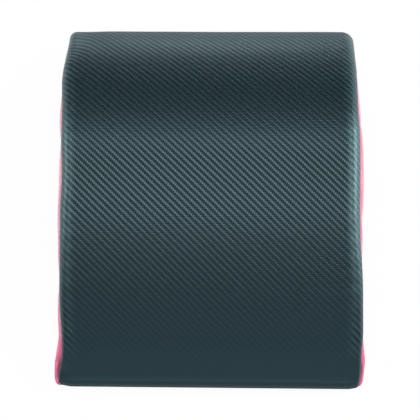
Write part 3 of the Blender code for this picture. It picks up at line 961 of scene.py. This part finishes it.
foam_across = mirrored(spread(0.0, (1.0, 0.05), (2.0, 0.34), (3.0, 0.25)))
foam_along = spread(FOAM_START, (CLOTH_LENGTH, FOAM_STEP))
foam_block = laid_sheet("foam_block", foam_across, foam_along, foam_place)
start_edit(foam_block)
for side in (-1, 1):
    pick(lambda middle, edge: edge.is_boundary and side * middle.x > FOAM_SIDE
         and middle.z > FOAM_FOOT, "edges")
    bpy.ops.mesh.edge_face_add()
pick(lambda middle, edge: edge.is_boundary, "edges")
bpy.ops.mesh.edge_face_add()
pick_all()
bpy.ops.mesh.normals_make_consistent(inside=False)
leave_edit()
notch = block("notch_tool", (-NOTCH_HALF, REAR_Y - NOTCH_DEPTH, 0.0),
              (NOTCH_HALF, REAR_Y + NOTCH_DEPTH, NOTCH_TOP))
combine("DIFFERENCE", foam_block, notch)
belongs(foam_block, "mat", "foam", "foam_core")
print("foam block of", len(foam_block.data.polygons), "faces")

# %% [markdown]
# ## The zip's tapes
# A moulded zip has two woven tapes, each with a thick cord along its inner edge that the teeth grip.
# The tape is a thin block; its inner face is extruded twice, and the second stretch is fattened into
# the cord.

# %% Tapes
TAPE_Y = REAR_Y - 2.6 * MM
TAPE_HALF_LENGTH = 128.0 * MM
TAPE_THIN = 0.3 * MM
CORD_HALF = 0.7 * MM
CORD_NEAR = 2.5 * MM
CORD_FAR = 3.3 * MM
TAPE_FAR = 9.0 * MM
CORD_STEP = 0.1 * MM
CORD_ROUND = 0.28 * MM
ROWS = {"upper": 1, "lower": -1}


def zip_tape(row, side):
    low_z, high_z = sorted((ZIP_Z + side * (CORD_FAR + CORD_STEP), ZIP_Z + side * TAPE_FAR))
    tape = block("tape_" + row, (-TAPE_HALF_LENGTH, TAPE_Y - TAPE_THIN, low_z),
                 (TAPE_HALF_LENGTH, TAPE_Y + TAPE_THIN, high_z))
    belongs(tape, "mat", "zip_tape", "zip_tape_" + row)
    start_edit(tape)
    pick(lambda place, face: face.normal.z * side < -0.5)
    grow(z=side * -CORD_STEP)
    scaled(y=CORD_HALF / TAPE_THIN, about=(0.0, TAPE_Y, ZIP_Z))
    grow(z=side * (CORD_NEAR - CORD_FAR))
    return end_edit(tape, CORD_ROUND, segments=3)


tapes = [zip_tape(row, side) for row, side in ROWS.items()]
print("tapes of", round(2 * TAPE_HALF_LENGTH / MM), "mm")

# %% [markdown]
# ## The teeth
# Each moulded tooth has a foot round the cord, shoulders, a narrow neck and a rounded head that fits
# between two heads of the other row. One tooth is modelled, stretch by stretch from its foot, and an
# Array repeats it at the pitch of a number 5 chain. The two rows stand half a pitch apart.

# %% Teeth
TOOTH_PITCH = 2.8 * MM
TOOTH_COUNT = 84
TOOTH_HALF = 1.2 * MM
FOOT_HALF = 0.95 * MM
FOOT_Z = (CORD_NEAR - 0.2 * MM, CORD_FAR + 0.5 * MM)
TOOTH_ROUND = 0.12 * MM
# Each stretch's length in millimetres, then its end's width and depth as shares of its start's
TOOTH_STRETCHES = (
    (0.5, 1.0, 1.0), (0.35, 0.46, 0.94), (0.35, 1.0, 1.0), (0.45, 1.45, 1.0), (0.35, 0.72, 0.86))
FOOT_SHARES = (0.8, 0.7)


def tooth_row(row, side):
    first_x = -((TOOTH_COUNT - 1) * TOOTH_PITCH + side * TOOTH_PITCH / 2) / 2
    tooth = block("teeth_" + row, (first_x - FOOT_HALF, TAPE_Y - TOOTH_HALF, ZIP_Z + FOOT_Z[0]),
                  (first_x + FOOT_HALF, TAPE_Y + TOOTH_HALF, ZIP_Z + FOOT_Z[1]))
    neck = (first_x, TAPE_Y, ZIP_Z)
    start_edit(tooth)
    pick(lambda place, face: face.normal.z < -0.5)
    for length, wide, deep in TOOTH_STRETCHES:
        grow(z=-length * MM)
        scaled(x=wide, y=deep, about=neck)
    pick(lambda place, face: face.normal.z > 0.5)
    scaled(*FOOT_SHARES, about=neck)
    pick_all()
    if side < 0:
        scaled(z=-1.0, about=neck)
        bpy.ops.mesh.normals_make_consistent(inside=False)
    leave_edit()
    add_bevel(tooth, TOOTH_ROUND, 1, 50)
    repeat_along_x(tooth, TOOTH_PITCH, TOOTH_COUNT)
    bpy.ops.object.shade_smooth_by_angle(angle=math.radians(50))
    belongs(tooth, "mat", "zip_tape")
    return tooth


teeth = [tooth_row(row, side) for row, side in ROWS.items()]
print("two rows of", TOOTH_COUNT, "teeth,", len(teeth[0].data.polygons), "faces each")

# %% [markdown]
# ## The stops
# Small metal clips end the chain: one round each cord at the closed end, and one wide one that holds
# both rows together at the other.

# %% Stops
STOP_INNER = 119.0 * MM
STOP_OUTER = 121.7 * MM
STOP_NEAR = 0.5 * MM
STOP_FAR = 2.2 * MM
STOP_RIM = 0.45 * MM
STOP_DISH_SHARE = 0.84
STOP_ROUND = 0.22 * MM


def zip_stop(name, end, low_z, high_z):
    near, far = sorted((end * STOP_INNER, end * STOP_OUTER))
    stop = block(name, (near, TAPE_Y - TOOTH_HALF, ZIP_Z + low_z),
                 (far, TAPE_Y + TOOTH_HALF, ZIP_Z + high_z))
    start_edit(stop)
    pick(lambda place, face: abs(face.normal.y) > 0.5)
    bpy.ops.mesh.inset(thickness=STOP_RIM)
    scaled(y=STOP_DISH_SHARE, about=(0.0, TAPE_Y, ZIP_Z))
    end_edit(stop, STOP_ROUND, segments=3)
    belongs(stop, "mat", "zip_metal", "zip_" + name)
    return stop


stops = [zip_stop("top_stop_upper", 1, STOP_NEAR, STOP_FAR),
         zip_stop("top_stop_lower", 1, -STOP_FAR, -STOP_NEAR),
         zip_stop("bottom_stop", -1, -STOP_FAR, STOP_FAR)]
print("stops at", round(STOP_INNER / MM), "mm either way")

# %% [markdown]
# ## The slider
# The slider is die-cast in one piece: an outer and an inner plate with lips that wrap the cords, a
# wedge between them that parts the rows, and an arch for the pull. The blocks are modelled one by one
# and joined by Boolean unions, as the casting is one body, and then get the skin of a casting.

# %% Slider
SLIDER_X = 113.4 * MM
SLIDER_HALF_LENGTH = 5.0 * MM
SLIDER_HALF = 4.3 * MM
PLATE_NEAR = 1.5 * MM
PLATE_FAR = 2.6 * MM
INNER_FAR = 2.4 * MM
LIP_NEAR = 0.6 * MM
LIP_INNER = 3.6 * MM
ARCH_HALF = 0.8 * MM
ARCH_UNDER = 4.2 * MM
ARCH_TOP = 5.0 * MM
ARCH_INSIDE = 2.0 * MM
ARCH_OUTSIDE = 2.9 * MM
ARCH_TOP_SHARE = 0.80
WAIST = (2.5 * MM, 0.93)
PLATE_END = (0.1 * MM, 0.84)
LIP_HALF_LENGTH = 4.4 * MM
WEDGE_X = (1.0 * MM, 4.6 * MM)
WEDGE_HALF = 0.2 * MM
LAP = 0.3 * MM
SLIDER_MIDDLE = Vector((SLIDER_X, TAPE_Y, ZIP_Z))


def around_slider(name, x, y, z):
    """A block by its reach along x, y and z from the slider's middle on the chain."""
    low, high = zip(x, y, z)
    return block(name, Vector(low) + SLIDER_MIDDLE, Vector(high) + SLIDER_MIDDLE)


def slider_plate(name, near, far):
    """A plate with a slight waist and drawn-in ends."""
    plate = around_slider(name, (-SLIDER_HALF_LENGTH, SLIDER_HALF_LENGTH), (near, far),
                          (-SLIDER_HALF, SLIDER_HALF))
    start_edit(plate)
    pick(runs_along_x, "edges")
    bpy.ops.mesh.subdivide(number_cuts=5)
    pick(lambda place, vert: abs(place.x - SLIDER_X) < WAIST[0], "verts")
    scaled(z=WAIST[1], about=SLIDER_MIDDLE)
    pick(lambda place, vert: abs(place.x - SLIDER_X) > SLIDER_HALF_LENGTH - PLATE_END[0], "verts")
    scaled(z=PLATE_END[1], about=SLIDER_MIDDLE)
    leave_edit()
    return plate


def slider_arch():
    """A leg grows out of the outer plate, over the gap for the pull, and back into the plate."""
    arch = around_slider("arch_tool", (-ARCH_HALF, ARCH_HALF), (PLATE_FAR - LAP, ARCH_UNDER),
                         (-ARCH_OUTSIDE, -ARCH_INSIDE))
    start_edit(arch)
    pick(lambda place, face: face.normal.y > 0.5)
    grow(y=ARCH_TOP - ARCH_UNDER)
    scaled(z=ARCH_TOP_SHARE, about=(SLIDER_X, TAPE_Y, ZIP_Z - ARCH_INSIDE))
    pick(lambda place, face: face.normal.z > 0.4 and place.y > TAPE_Y + ARCH_UNDER)
    grow(z=2 * ARCH_INSIDE)
    pick(lambda place, face: face.normal.z > 0.4 and place.z > ZIP_Z + ARCH_INSIDE - 0.5 * MM)
    grow(z=ARCH_OUTSIDE - ARCH_INSIDE)
    pick(lambda place, face: face.normal.y < -0.5 and place.z > ZIP_Z + ARCH_INSIDE)
    grow(y=PLATE_FAR - LAP - ARCH_UNDER)
    leave_edit()
    return arch


def slider_lip(up, out):
    """A lip on the upper or lower edge of the outer or inner plate, wrapping its cord."""
    z = sorted((up * LIP_INNER * WAIST[1], up * SLIDER_HALF * WAIST[1]))
    y = sorted((out * LIP_NEAR, out * (PLATE_NEAR + LAP)))
    return around_slider("lip_tool", (-LIP_HALF_LENGTH, LIP_HALF_LENGTH), y, z)


slider = slider_plate("slider", PLATE_NEAR, PLATE_FAR)
slider_tools = [slider_plate("inner_plate_tool", -INNER_FAR, -PLATE_NEAR), slider_arch()]
slider_tools += [slider_lip(up, out) for up in (-1, 1) for out in (-1, 1)]
wedge_y = (-PLATE_NEAR - WEDGE_HALF, PLATE_NEAR + WEDGE_HALF)
slider_tools.append(around_slider("wedge_tool", WEDGE_X, wedge_y, (-WEDGE_HALF, WEDGE_HALF)))
combine("UNION", slider, *slider_tools)
cast(slider)
belongs(slider, "slider", "zip_metal", "zip_slider")
print("slider of", len(slider.data.polygons), "faces")

# %% [markdown]
# ## The pull
# The pull is a flat tab with an eye that hangs on the arch and a wider end with round corners. The tab
# is a block, cut across and along into stretches. Its end is widened, its corners are rounded, and the
# faces over the eye on both sides are joined through the tab by a bridge. It is cast, as the slider is.

# %% Pull
PULL_Y = TAPE_Y + PLATE_FAR + 0.8 * MM
PULL_HALF = 0.5 * MM
PULL_REACH = 24.0 * MM
PULL_NECK = 2.4 * MM
PULL_END = 3.2 * MM
PULL_CORNER = 2.9 * MM
PULL_ROUND = 0.14 * MM
NECK_END = 6.5 * MM
WIDE_FROM = 13.0 * MM
EYE_FAR = 4.2 * MM
EYE_HALF = 1.15 * MM
NEARBY = 0.1 * MM


def zip_pull():
    pull = block("pull", (SLIDER_X - PULL_REACH, PULL_Y - PULL_HALF, ZIP_Z - PULL_NECK),
                 (SLIDER_X + PULL_HALF, PULL_Y + PULL_HALF, ZIP_Z + PULL_NECK))
    middle = Vector((SLIDER_X, PULL_Y, ZIP_Z))
    across, along = Vector((1.0, 0.0, 0.0)), Vector((0.0, 0.0, 1.0))
    cuts = [(-place * across, across) for place in (PULL_HALF, EYE_FAR, NECK_END, WIDE_FROM)]
    cuts += [(place * along, along) for place in (-EYE_HALF, EYE_HALF)]
    start_edit(pull)
    for place, direction in cuts:
        pick_all()
        bpy.ops.mesh.bisect(plane_co=middle + place, plane_no=direction)

    def on_wide_side(place, vert):
        return place.x < SLIDER_X - WIDE_FROM + MM and abs(place.z - ZIP_Z) > EYE_HALF + NEARBY

    def over_eye(place, face):
        in_length = -EYE_FAR < place.x - SLIDER_X < -PULL_HALF
        return in_length and abs(place.z - ZIP_Z) < EYE_HALF and abs(face.normal.y) > 0.5

    def at_corner(place, edge):
        at_end = place.x < SLIDER_X - PULL_REACH + NEARBY
        return at_end and abs(place.z - ZIP_Z) > PULL_NECK and abs(place.y - PULL_Y) < NEARBY

    pick(on_wide_side, "verts")
    scaled(z=PULL_END / PULL_NECK, about=middle)
    pick(over_eye)
    bpy.ops.mesh.bridge_edge_loops()
    pick(at_corner, "edges")
    bpy.ops.mesh.bevel(offset=PULL_CORNER, segments=10, affect="EDGES")
    end_edit(pull, PULL_ROUND, degrees=40)
    cast(pull)
    return pull


pull = zip_pull()
belongs(pull, "pull", "zip_metal", "zip_pull")
print("pull of", len(pull.data.polygons), "faces")

# %% [markdown]
# ## The stitches
# The tapes are held by a row of stitches above and below the window. Each stitch is a short thread
# that rises from one needle hole, stands proud of the cloth, and dives into the next. One is modelled
# from a six-sided cylinder with a raised middle, and an Array lays the row.

# %% Stitches
STITCH_PITCH = 3.6 * MM
STITCH_LENGTH = 3.1 * MM
THREAD_RADIUS = 0.32 * MM
STITCH_ROW_HALF = 127.0 * MM
STITCH_PROUD = 0.10 * MM
STITCH_DIVE = 0.42 * MM
STITCH_RISE = 0.10 * MM
STITCH_ROWS = {"stitches_upper": ZIP_Z + WINDOW_HALF + 1.8 * MM, "stitches_lower": FACING_TOP - 1.7 * MM}


def stitch_row(name, height):
    count = int(2 * STITCH_ROW_HALF / STITCH_PITCH) + 1
    first_x = -(count - 1) * STITCH_PITCH / 2
    place = Vector((first_x, REAR_Y + STITCH_PROUD, height))
    deselect()
    bpy.ops.mesh.primitive_cylinder_add(vertices=6, radius=THREAD_RADIUS, depth=STITCH_LENGTH,
                                        location=place, rotation=(0.0, math.pi / 2, 0.0))
    row = bpy.context.object
    row.name = row.data.name = name
    bpy.ops.object.transform_apply(location=True, rotation=True, scale=True)
    start_edit(row)
    pick(runs_along_x, "edges")
    bpy.ops.mesh.subdivide(number_cuts=3)
    pick(lambda middle, vert: abs(middle.x - first_x) > 0.45 * STITCH_LENGTH, "verts")
    scaled(y=0.5, z=0.5, about=place)
    bpy.ops.transform.translate(value=(0.0, -STITCH_DIVE, 0.0))
    pick(lambda middle, vert: abs(middle.x - first_x) < 0.3 * STITCH_LENGTH, "verts")
    bpy.ops.transform.translate(value=(0.0, STITCH_RISE, 0.0))
    leave_edit()
    repeat_along_x(row, STITCH_PITCH, count)
    bpy.ops.object.shade_smooth()
    belongs(row, "mat", "zip_tape")
    print(name, "has", count, "stitches")
    return row


stitches = [stitch_row(name, height) for name, height in STITCH_ROWS.items()]

# %% [markdown]
# ## The embossed leatherette
# The film is stamped with a two-by-two twill: each thread passes over two and under two, one step
# further in each row, which draws ribs that fall to the right. The pattern is a sum on the cloth's
# own UV map, in thread widths. Floor and fraction give the thread and the place across it, a cosine
# along the thread lifts it over its neighbours, and the higher of warp and weft is what shows. The
# grooves are painted nearly black as shade, with a metallic share that paints shade into their
# reflection too, as a black metal mirrors almost nothing.
#
# The stamp isn't the same all over. At the thin end the film is pressed nearly flat, but for the edges,
# where the seam's grip keeps the ribs. Past the crown the ribs are calmer, and at the rear left corner
# they are dragged askew. The painted groove shade fades with the ribs, and the film is painted lighter
# where they are flat or calm and darker where they are deep, as light and shade along the dome. The
# rolled edges along the dome and the ribs the seam grips are pale with a painted highlight, and the hem
# under the nose is painted dark as its shadow on the floor.

# %% Stretches and colours of the film
THREAD = 1.8 * MM
RIB_HEIGHT = 0.30 * MM
SPECULAR_TINT = (0.66, 0.93, 1.0, 1.0)

# Ranges across the cloth from its middle, and what some of them go from and to
EDGE_SMOOTH = (HALF_WIDTH - 8.0 * MM, HALF_WIDTH + 1.0 * MM)
ROLLED_OVER = (HALF_WIDTH - 15.0 * MM, HALF_WIDTH - 6.0 * MM)
SEAM_SHADE = (HALF_WIDTH - 1.0 * MM, HALF_WIDTH + 4.5 * MM, 1.0, 0.0)
EDGE_GRIP = (HALF_WIDTH - 18.0 * MM, HALF_WIDTH - 7.0 * MM)
CORNER_DRAG = (122.0 * MM, 162.0 * MM, 0.0, 24.0 * MM)
SIDE_SHEEN = (-10.0 * MM, 10.0 * MM, 0.55, 1.0)

# Ranges along the cloth from its hem
HEM_SHADE = (3.5 * MM, 6.5 * MM, 1.0, 0.0)
NOSE_END = (7.0 * MM, 18.0 * MM, 1.0, 0.0)
PRESSED_FLAT = (15.0 * MM, 225.0 * MM, 0.06, 0.88)
GRIP_START = (22.0 * MM, 60.0 * MM, 0.0, 0.5)
FIRST_RIBS = (32.0 * MM, 60.0 * MM, 0.0, 0.10)
SHEEN_START = (50.0 * MM, 175.0 * MM)
PAST_CROWN = (232.0 * MM, 268.0 * MM, 1.0, 0.76)
SHEEN_END = (262.0 * MM, 300.0 * MM, 1.0, 0.3)
REAR_STRETCH = (345.0 * MM, 385.0 * MM)
REAR_SLACK = (*REAR_STRETCH, 1.0, 0.72)

# The blend of groove and rib stays in its middle half, so these lie twice as far apart as what shows
GROOVE_SHADE_TWICE = (0.0001, 0.0001, 0.0001, 1.0)
RIB_TWICE = (0.0105, 0.0285, 0.0350, 1.0)
FLAT_FILM = (0.0135, 0.0320, 0.0410, 1.0)
HEM_SHADOW_FILM = (0.0035, 0.0045, 0.0055, 1.0)
PAINTED_SHEEN_FILM = (0.095, 0.170, 0.180, 1.0)
RIB_SHARE = 0.5
PIT_SHADE_SHARE = 0.78
EDGE_SMOOTH_SHARE = 0.65
print("ribs deepen from", round(PRESSED_FLAT[0] / MM), "to", round(PRESSED_FLAT[1] / MM), "mm of cloth")

# %% Twill
LIFTS = (-0.55, 0.75)


def twill(across, along):
    """The warp's and the weft's height, each 0 to 1, over a two-by-two twill in thread widths."""
    column, row = across.maths("FLOOR"), along.maths("FLOOR")
    warp_side = (across - column - 0.5) * 2.0
    weft_side = (along - row - 0.5) * 2.0
    warp_bow = 1.0 - warp_side * warp_side
    weft_bow = 1.0 - weft_side * weft_side
    up = ((along + column) * (math.tau / 4)).maths("COSINE").between(*LIFTS)
    down = ((across + row) * (math.tau / 4)).maths("COSINE").between(*LIFTS, 1.0, 0.0)
    return up * (warp_bow * 0.35 + 0.65), down * (weft_bow * 0.3 + 0.2)


def make_embossed():
    finish = Finish("embossed_twill", IOR=1.5, Specular_Tint=SPECULAR_TINT, Specular_IOR_Level=0.6)
    cloth = finish.node("ShaderNodeUVMap")
    across, along, _ = finish.axes(cloth)
    aside = across.maths("ABSOLUTE")
    drift = finish.noise(cloth, 60.0) - 0.5
    drag = (0.0 - across).between(*CORNER_DRAG) * along.between(*REAR_STRETCH)
    warp, weft = twill(across / THREAD + drift * 0.2, (along + drag) / THREAD)
    grain = finish.noise(cloth, 2600.0, detail=1.0)

    pressed = along.between(*PRESSED_FLAT) + along.between(*FIRST_RIBS)
    grip = aside.between(*EDGE_GRIP) * along.between(*GRIP_START)
    slack = along.between(*REAR_SLACK)
    calm = along.between(*PAST_CROWN)
    drawn = aside.between(*EDGE_SMOOTH) * slack
    depth = pressed.maths("MAXIMUM", grip) * (1.0 - drawn * EDGE_SMOOTH_SHARE) * slack

    crown = warp.between(0.16, 0.54)
    swing = (crown - RIB_SHARE) * calm
    contrast = swing * depth
    pit_shade = (RIB_SHARE - swing) * depth
    # Painted shade: the grooves between the ribs are painted nearly black.
    thread = finish.blend(contrast * 0.5 + 0.5, GROOVE_SHADE_TWICE, RIB_TWICE)
    # Painted light and shade along the dome: the film is lighter where the ribs are flat or calm, darker
    # where they are deep.
    film = finish.blend(depth * calm, FLAT_FILM, thread)
    # Painted shadow: the hem under the nose is painted near black, where it meets the floor.
    foot = along.between(*HEM_SHADE)
    # Painted highlight: the rolled edges along the dome, weaker on the left, and the ribs the seam grips are
    # painted pale.
    rolled = aside.between(*ROLLED_OVER) * aside.between(*SEAM_SHADE) * across.between(*SIDE_SHEEN)
    dome = along.between(*SHEEN_START) * along.between(*SHEEN_END)
    pale = (rolled * dome * (crown * 0.5 + 0.5)).maths("MAXIMUM", grip * crown * 0.4)
    colour = finish.blend(pale, finish.blend(foot, film, HEM_SHADOW_FILM), PAINTED_SHEEN_FILM)
    gloss = 0.30 - contrast * 0.14 + grain * 0.05 + along.between(*NOSE_END) * 0.3
    # Painted shade: a metallic share darkens the reflection in the grooves and on the hem.
    metal = (pit_shade * PIT_SHADE_SHARE).maths("MAXIMUM", foot * 0.9)
    finish.drive(Base_Color=colour, Roughness=gloss, Metallic=metal)
    height = warp.maths("MAXIMUM", weft) + grain * 0.03
    return finish.relief(height * depth * calm, RIB_HEIGHT)


make_embossed().dress(cover_top, cover_facing)
print("twill repeats every", round(4 * THREAD / MM, 1), "mm")

# %% [markdown]
# ## The pink leatherette
# Plain leatherette has a fine pebble grain: cells a millimetre across with soft valleys, under a clear
# coat. The colour is painted a shade deeper in the valleys and next to the seams, as shade, and a short
# dark crease of painted shadow lies under the seam at the thin end, where the cover folds in.

# %% Pink grain
PINKS = ((0.79, 0.135, 0.29, 1.0), (0.86, 0.175, 0.335, 1.0))
PINK_VALLEY = (0.62, 0.085, 0.205, 1.0)
PINK_SEAM_SHADE = (0.42, 0.05, 0.12, 1.0)
PINK_CREASE_SHADOW = (0.16, 0.008, 0.025, 1.0)
CREASE_UP = (0.74, 0.92)
CREASE_START = (4.0 * MM, 10.0 * MM)
CREASE_END = (20.0 * MM, 32.0 * MM, 1.0, 0.0)


def make_pink():
    finish = Finish("pink_grain", IOR=1.5, Coat_Weight=0.7, Coat_Roughness=0.15)
    place = finish.object_place()
    up, along, _ = finish.axes(finish.node("ShaderNodeUVMap"))
    cells = finish.node("ShaderNodeTexVoronoi", {"feature": "SMOOTH_F1"}, {"Vector": place, "Scale": 900.0})
    pebble = 1.0 - cells.between(0.1, 0.75)
    cloud = finish.noise(place, 45.0, detail=3.0)
    seam = up.between(0.86, 0.98) + up.between(0.01, 0.08, 1.0, 0.0)
    body = finish.blend(cloud.between(0.3, 0.7), *PINKS)
    # Painted shade: the pebble valleys are painted a shade deeper.
    valley = finish.blend(pebble * 0.6 + 0.4, PINK_VALLEY, body)
    # Painted shade: the pink next to the top seam and the foot seam is painted darker.
    wear_and_seam_shade = finish.blend(seam * 0.55, valley, PINK_SEAM_SHADE)
    # Painted shadow: a dark crease under the seam at the thin end, where the cover folds in.
    crease = up.between(*CREASE_UP) * along.between(*CREASE_START) * along.between(*CREASE_END)
    crease_shadowed = finish.blend(crease * 0.85, wear_and_seam_shade, PINK_CREASE_SHADOW)
    finish.drive(Base_Color=crease_shadowed, Roughness=0.5 - pebble * 0.1 + cloud * 0.06)
    return finish.relief(pebble + cloud * 0.5, 0.10 * MM)


make_pink().dress(*panels)
print("pink grain ready")

# %% [markdown]
# ## Tape, thread and teeth
# Zip tape is woven in a herringbone: diagonal ribs whose slant changes sides every few millimetres. A
# triangle wave along the tape, added to the distance across it, gives those ribs. The teeth are moulded
# in a smooth plastic, with a faint flow mottle, and the thread is twisted, which shows as slanted lines.


# %% Tape, thread and teeth finishes
RIB_PITCH = 0.55 * MM
CHEVRON = 3.2 * MM
TWIST_PITCH = 0.5 * MM
TAPE_BLACKS = ((0.006, 0.006, 0.007, 1.0), (0.021, 0.021, 0.023, 1.0))
TEETH_BLACKS = ((0.010, 0.010, 0.011, 1.0), (0.019, 0.019, 0.021, 1.0))
THREAD_BLACKS = ((0.006, 0.010, 0.012, 1.0), (0.026, 0.037, 0.042, 1.0))


def wave(place, pitch):
    """A sine between 0 and 1 that repeats at a pitch."""
    return (place * (math.tau / pitch)).maths("SINE") * 0.5 + 0.5


def make_tape_weave():
    finish = Finish("zip_tape_weave", IOR=1.45)
    place = finish.object_place()
    x, _, z = finish.axes(place)
    rib = wave(x.maths("PINGPONG", CHEVRON) + z, RIB_PITCH)
    height = rib * 0.7 + wave(x, RIB_PITCH * 0.8) * 0.3
    fuzz = finish.noise(place, 5200.0)
    # Painted shade: the weave's low places are painted darker than its ribs.
    finish.drive(Base_Color=finish.blend(height, *TAPE_BLACKS), Roughness=0.78 + fuzz * 0.2)
    return finish.relief(height + fuzz * 0.25, 0.12 * MM)


def make_teeth_plastic():
    finish = Finish("moulded_teeth", IOR=1.48)
    flow = finish.noise(finish.object_place(), 420.0, detail=3.0)
    finish.drive(Base_Color=finish.blend(flow, *TEETH_BLACKS), Roughness=0.26 + flow * 0.16)
    return finish.relief(flow, 0.03 * MM)


def make_thread():
    finish = Finish("sewing_thread", IOR=1.46)
    place = finish.object_place()
    x, _, z = finish.axes(place)
    twist = wave(x + z, TWIST_PITCH)
    fuzz = finish.noise(place, 4000.0)
    # Painted shade: the grooves between the twists are painted darker.
    finish.drive(Base_Color=finish.blend(twist, *THREAD_BLACKS), Roughness=0.5 + fuzz * 0.2)
    return finish.relief(twist + fuzz * 0.2, 0.08 * MM)


make_tape_weave().dress(*tapes)
make_teeth_plastic().dress(*teeth)
make_thread().dress(*stitches)
print("tape ribs every", RIB_PITCH / MM, "mm")

# %% [markdown]
# ## Black enamel
# The slider, pull and stops are cast zinc under black enamel. The enamel pools a little unevenly, which
# a low bump gives, and it has worn thin along the edges of the pull and the arch. Cycles knows where a
# surface turns sharply, and a noise breaks that line up, so that wear looks like wear.


# %% Enamel
ENAMEL_BLACKS = ((0.013, 0.013, 0.014, 1.0), (0.022, 0.022, 0.024, 1.0))
BARE_ZINC = (0.34, 0.34, 0.35, 1.0)
SHARP_EDGE = (0.53, 0.58)


def make_enamel():
    finish = Finish("black_enamel", IOR=1.52)
    place = finish.object_place()
    pool = finish.noise(place, 300.0, detail=3.0)
    scratch = finish.noise(place, 1500.0, detail=4.0)
    pointiness = finish.node("ShaderNodeNewGeometry", output=7)
    wear_and_seam_shade = pointiness.between(*SHARP_EDGE) * scratch.between(0.42, 0.60)
    colour = finish.blend(wear_and_seam_shade, finish.blend(pool, *ENAMEL_BLACKS), BARE_ZINC)
    finish.drive(Base_Color=colour, Roughness=0.28 + pool * 0.12, Metallic=wear_and_seam_shade)
    return finish.relief(pool + scratch * 0.2, 0.06 * MM)


enamel = make_enamel()
enamel.dress(slider, pull, *stops)
print("enamel on", len(enamel.tree.nodes), "nodes")

# %% [markdown]
# ## Base cloth and foam
# The base is a coarse basket weave under a thin rubber coat: pairs of yarns pass over and under each
# other, and the coat fills the holes. The foam's cut face is a field of burst cells, which Voronoi noise
# draws at two sizes.

# %% Base cloth and foam finishes
BASKET = 1.5 * MM
BASE_BLACKS = ((0.010, 0.010, 0.011, 1.0), (0.030, 0.031, 0.033, 1.0))
FOAM_GREYS = ((0.07, 0.07, 0.075, 1.0), (0.22, 0.22, 0.235, 1.0))


def make_non_slip():
    finish = Finish("non_slip_weave", IOR=1.5)
    cloth = finish.node("ShaderNodeUVMap")
    across, along, _ = finish.axes(cloth)
    wander = (finish.noise(cloth, 90.0) - 0.5) * 0.15
    u, v = across / BASKET + wander, along / BASKET + wander
    warp, weft = ((place * math.pi).maths("SINE").maths("ABSOLUTE") for place in (u, v))
    turn = (u.maths("FLOOR") + v.maths("FLOOR")).maths("PINGPONG", 1.0)
    height = warp * turn + weft * (1.0 - turn)
    speck = finish.noise(cloth, 3500.0)
    # Painted shade: the weave's hollows are painted darker than the yarn tops.
    finish.drive(Base_Color=finish.blend(height, *BASE_BLACKS), Roughness=0.72 + speck * 0.2)
    return finish.relief(height + speck * 0.2, 0.30 * MM)


def make_foam():
    finish = Finish("grey_foam", IOR=1.4)
    place = finish.object_place()
    coarse, fine = (finish.node("ShaderNodeTexVoronoi", values={"Vector": place, "Scale": scale})
                    for scale in (700.0, 2100.0))
    wall = coarse.between(0.0, 0.6) * 0.65 + fine.between(0.0, 0.6) * 0.35
    # Painted shade: the burst cells are painted darker than their walls.
    finish.drive(Base_Color=finish.blend(wall, *FOAM_GREYS), Roughness=0.97 - wall * 0.1)
    return finish.relief(wall, 0.35 * MM)


make_non_slip().dress(base_cloth)
make_foam().dress(foam_block)
print("basket weave of", BASKET / MM, "mm")
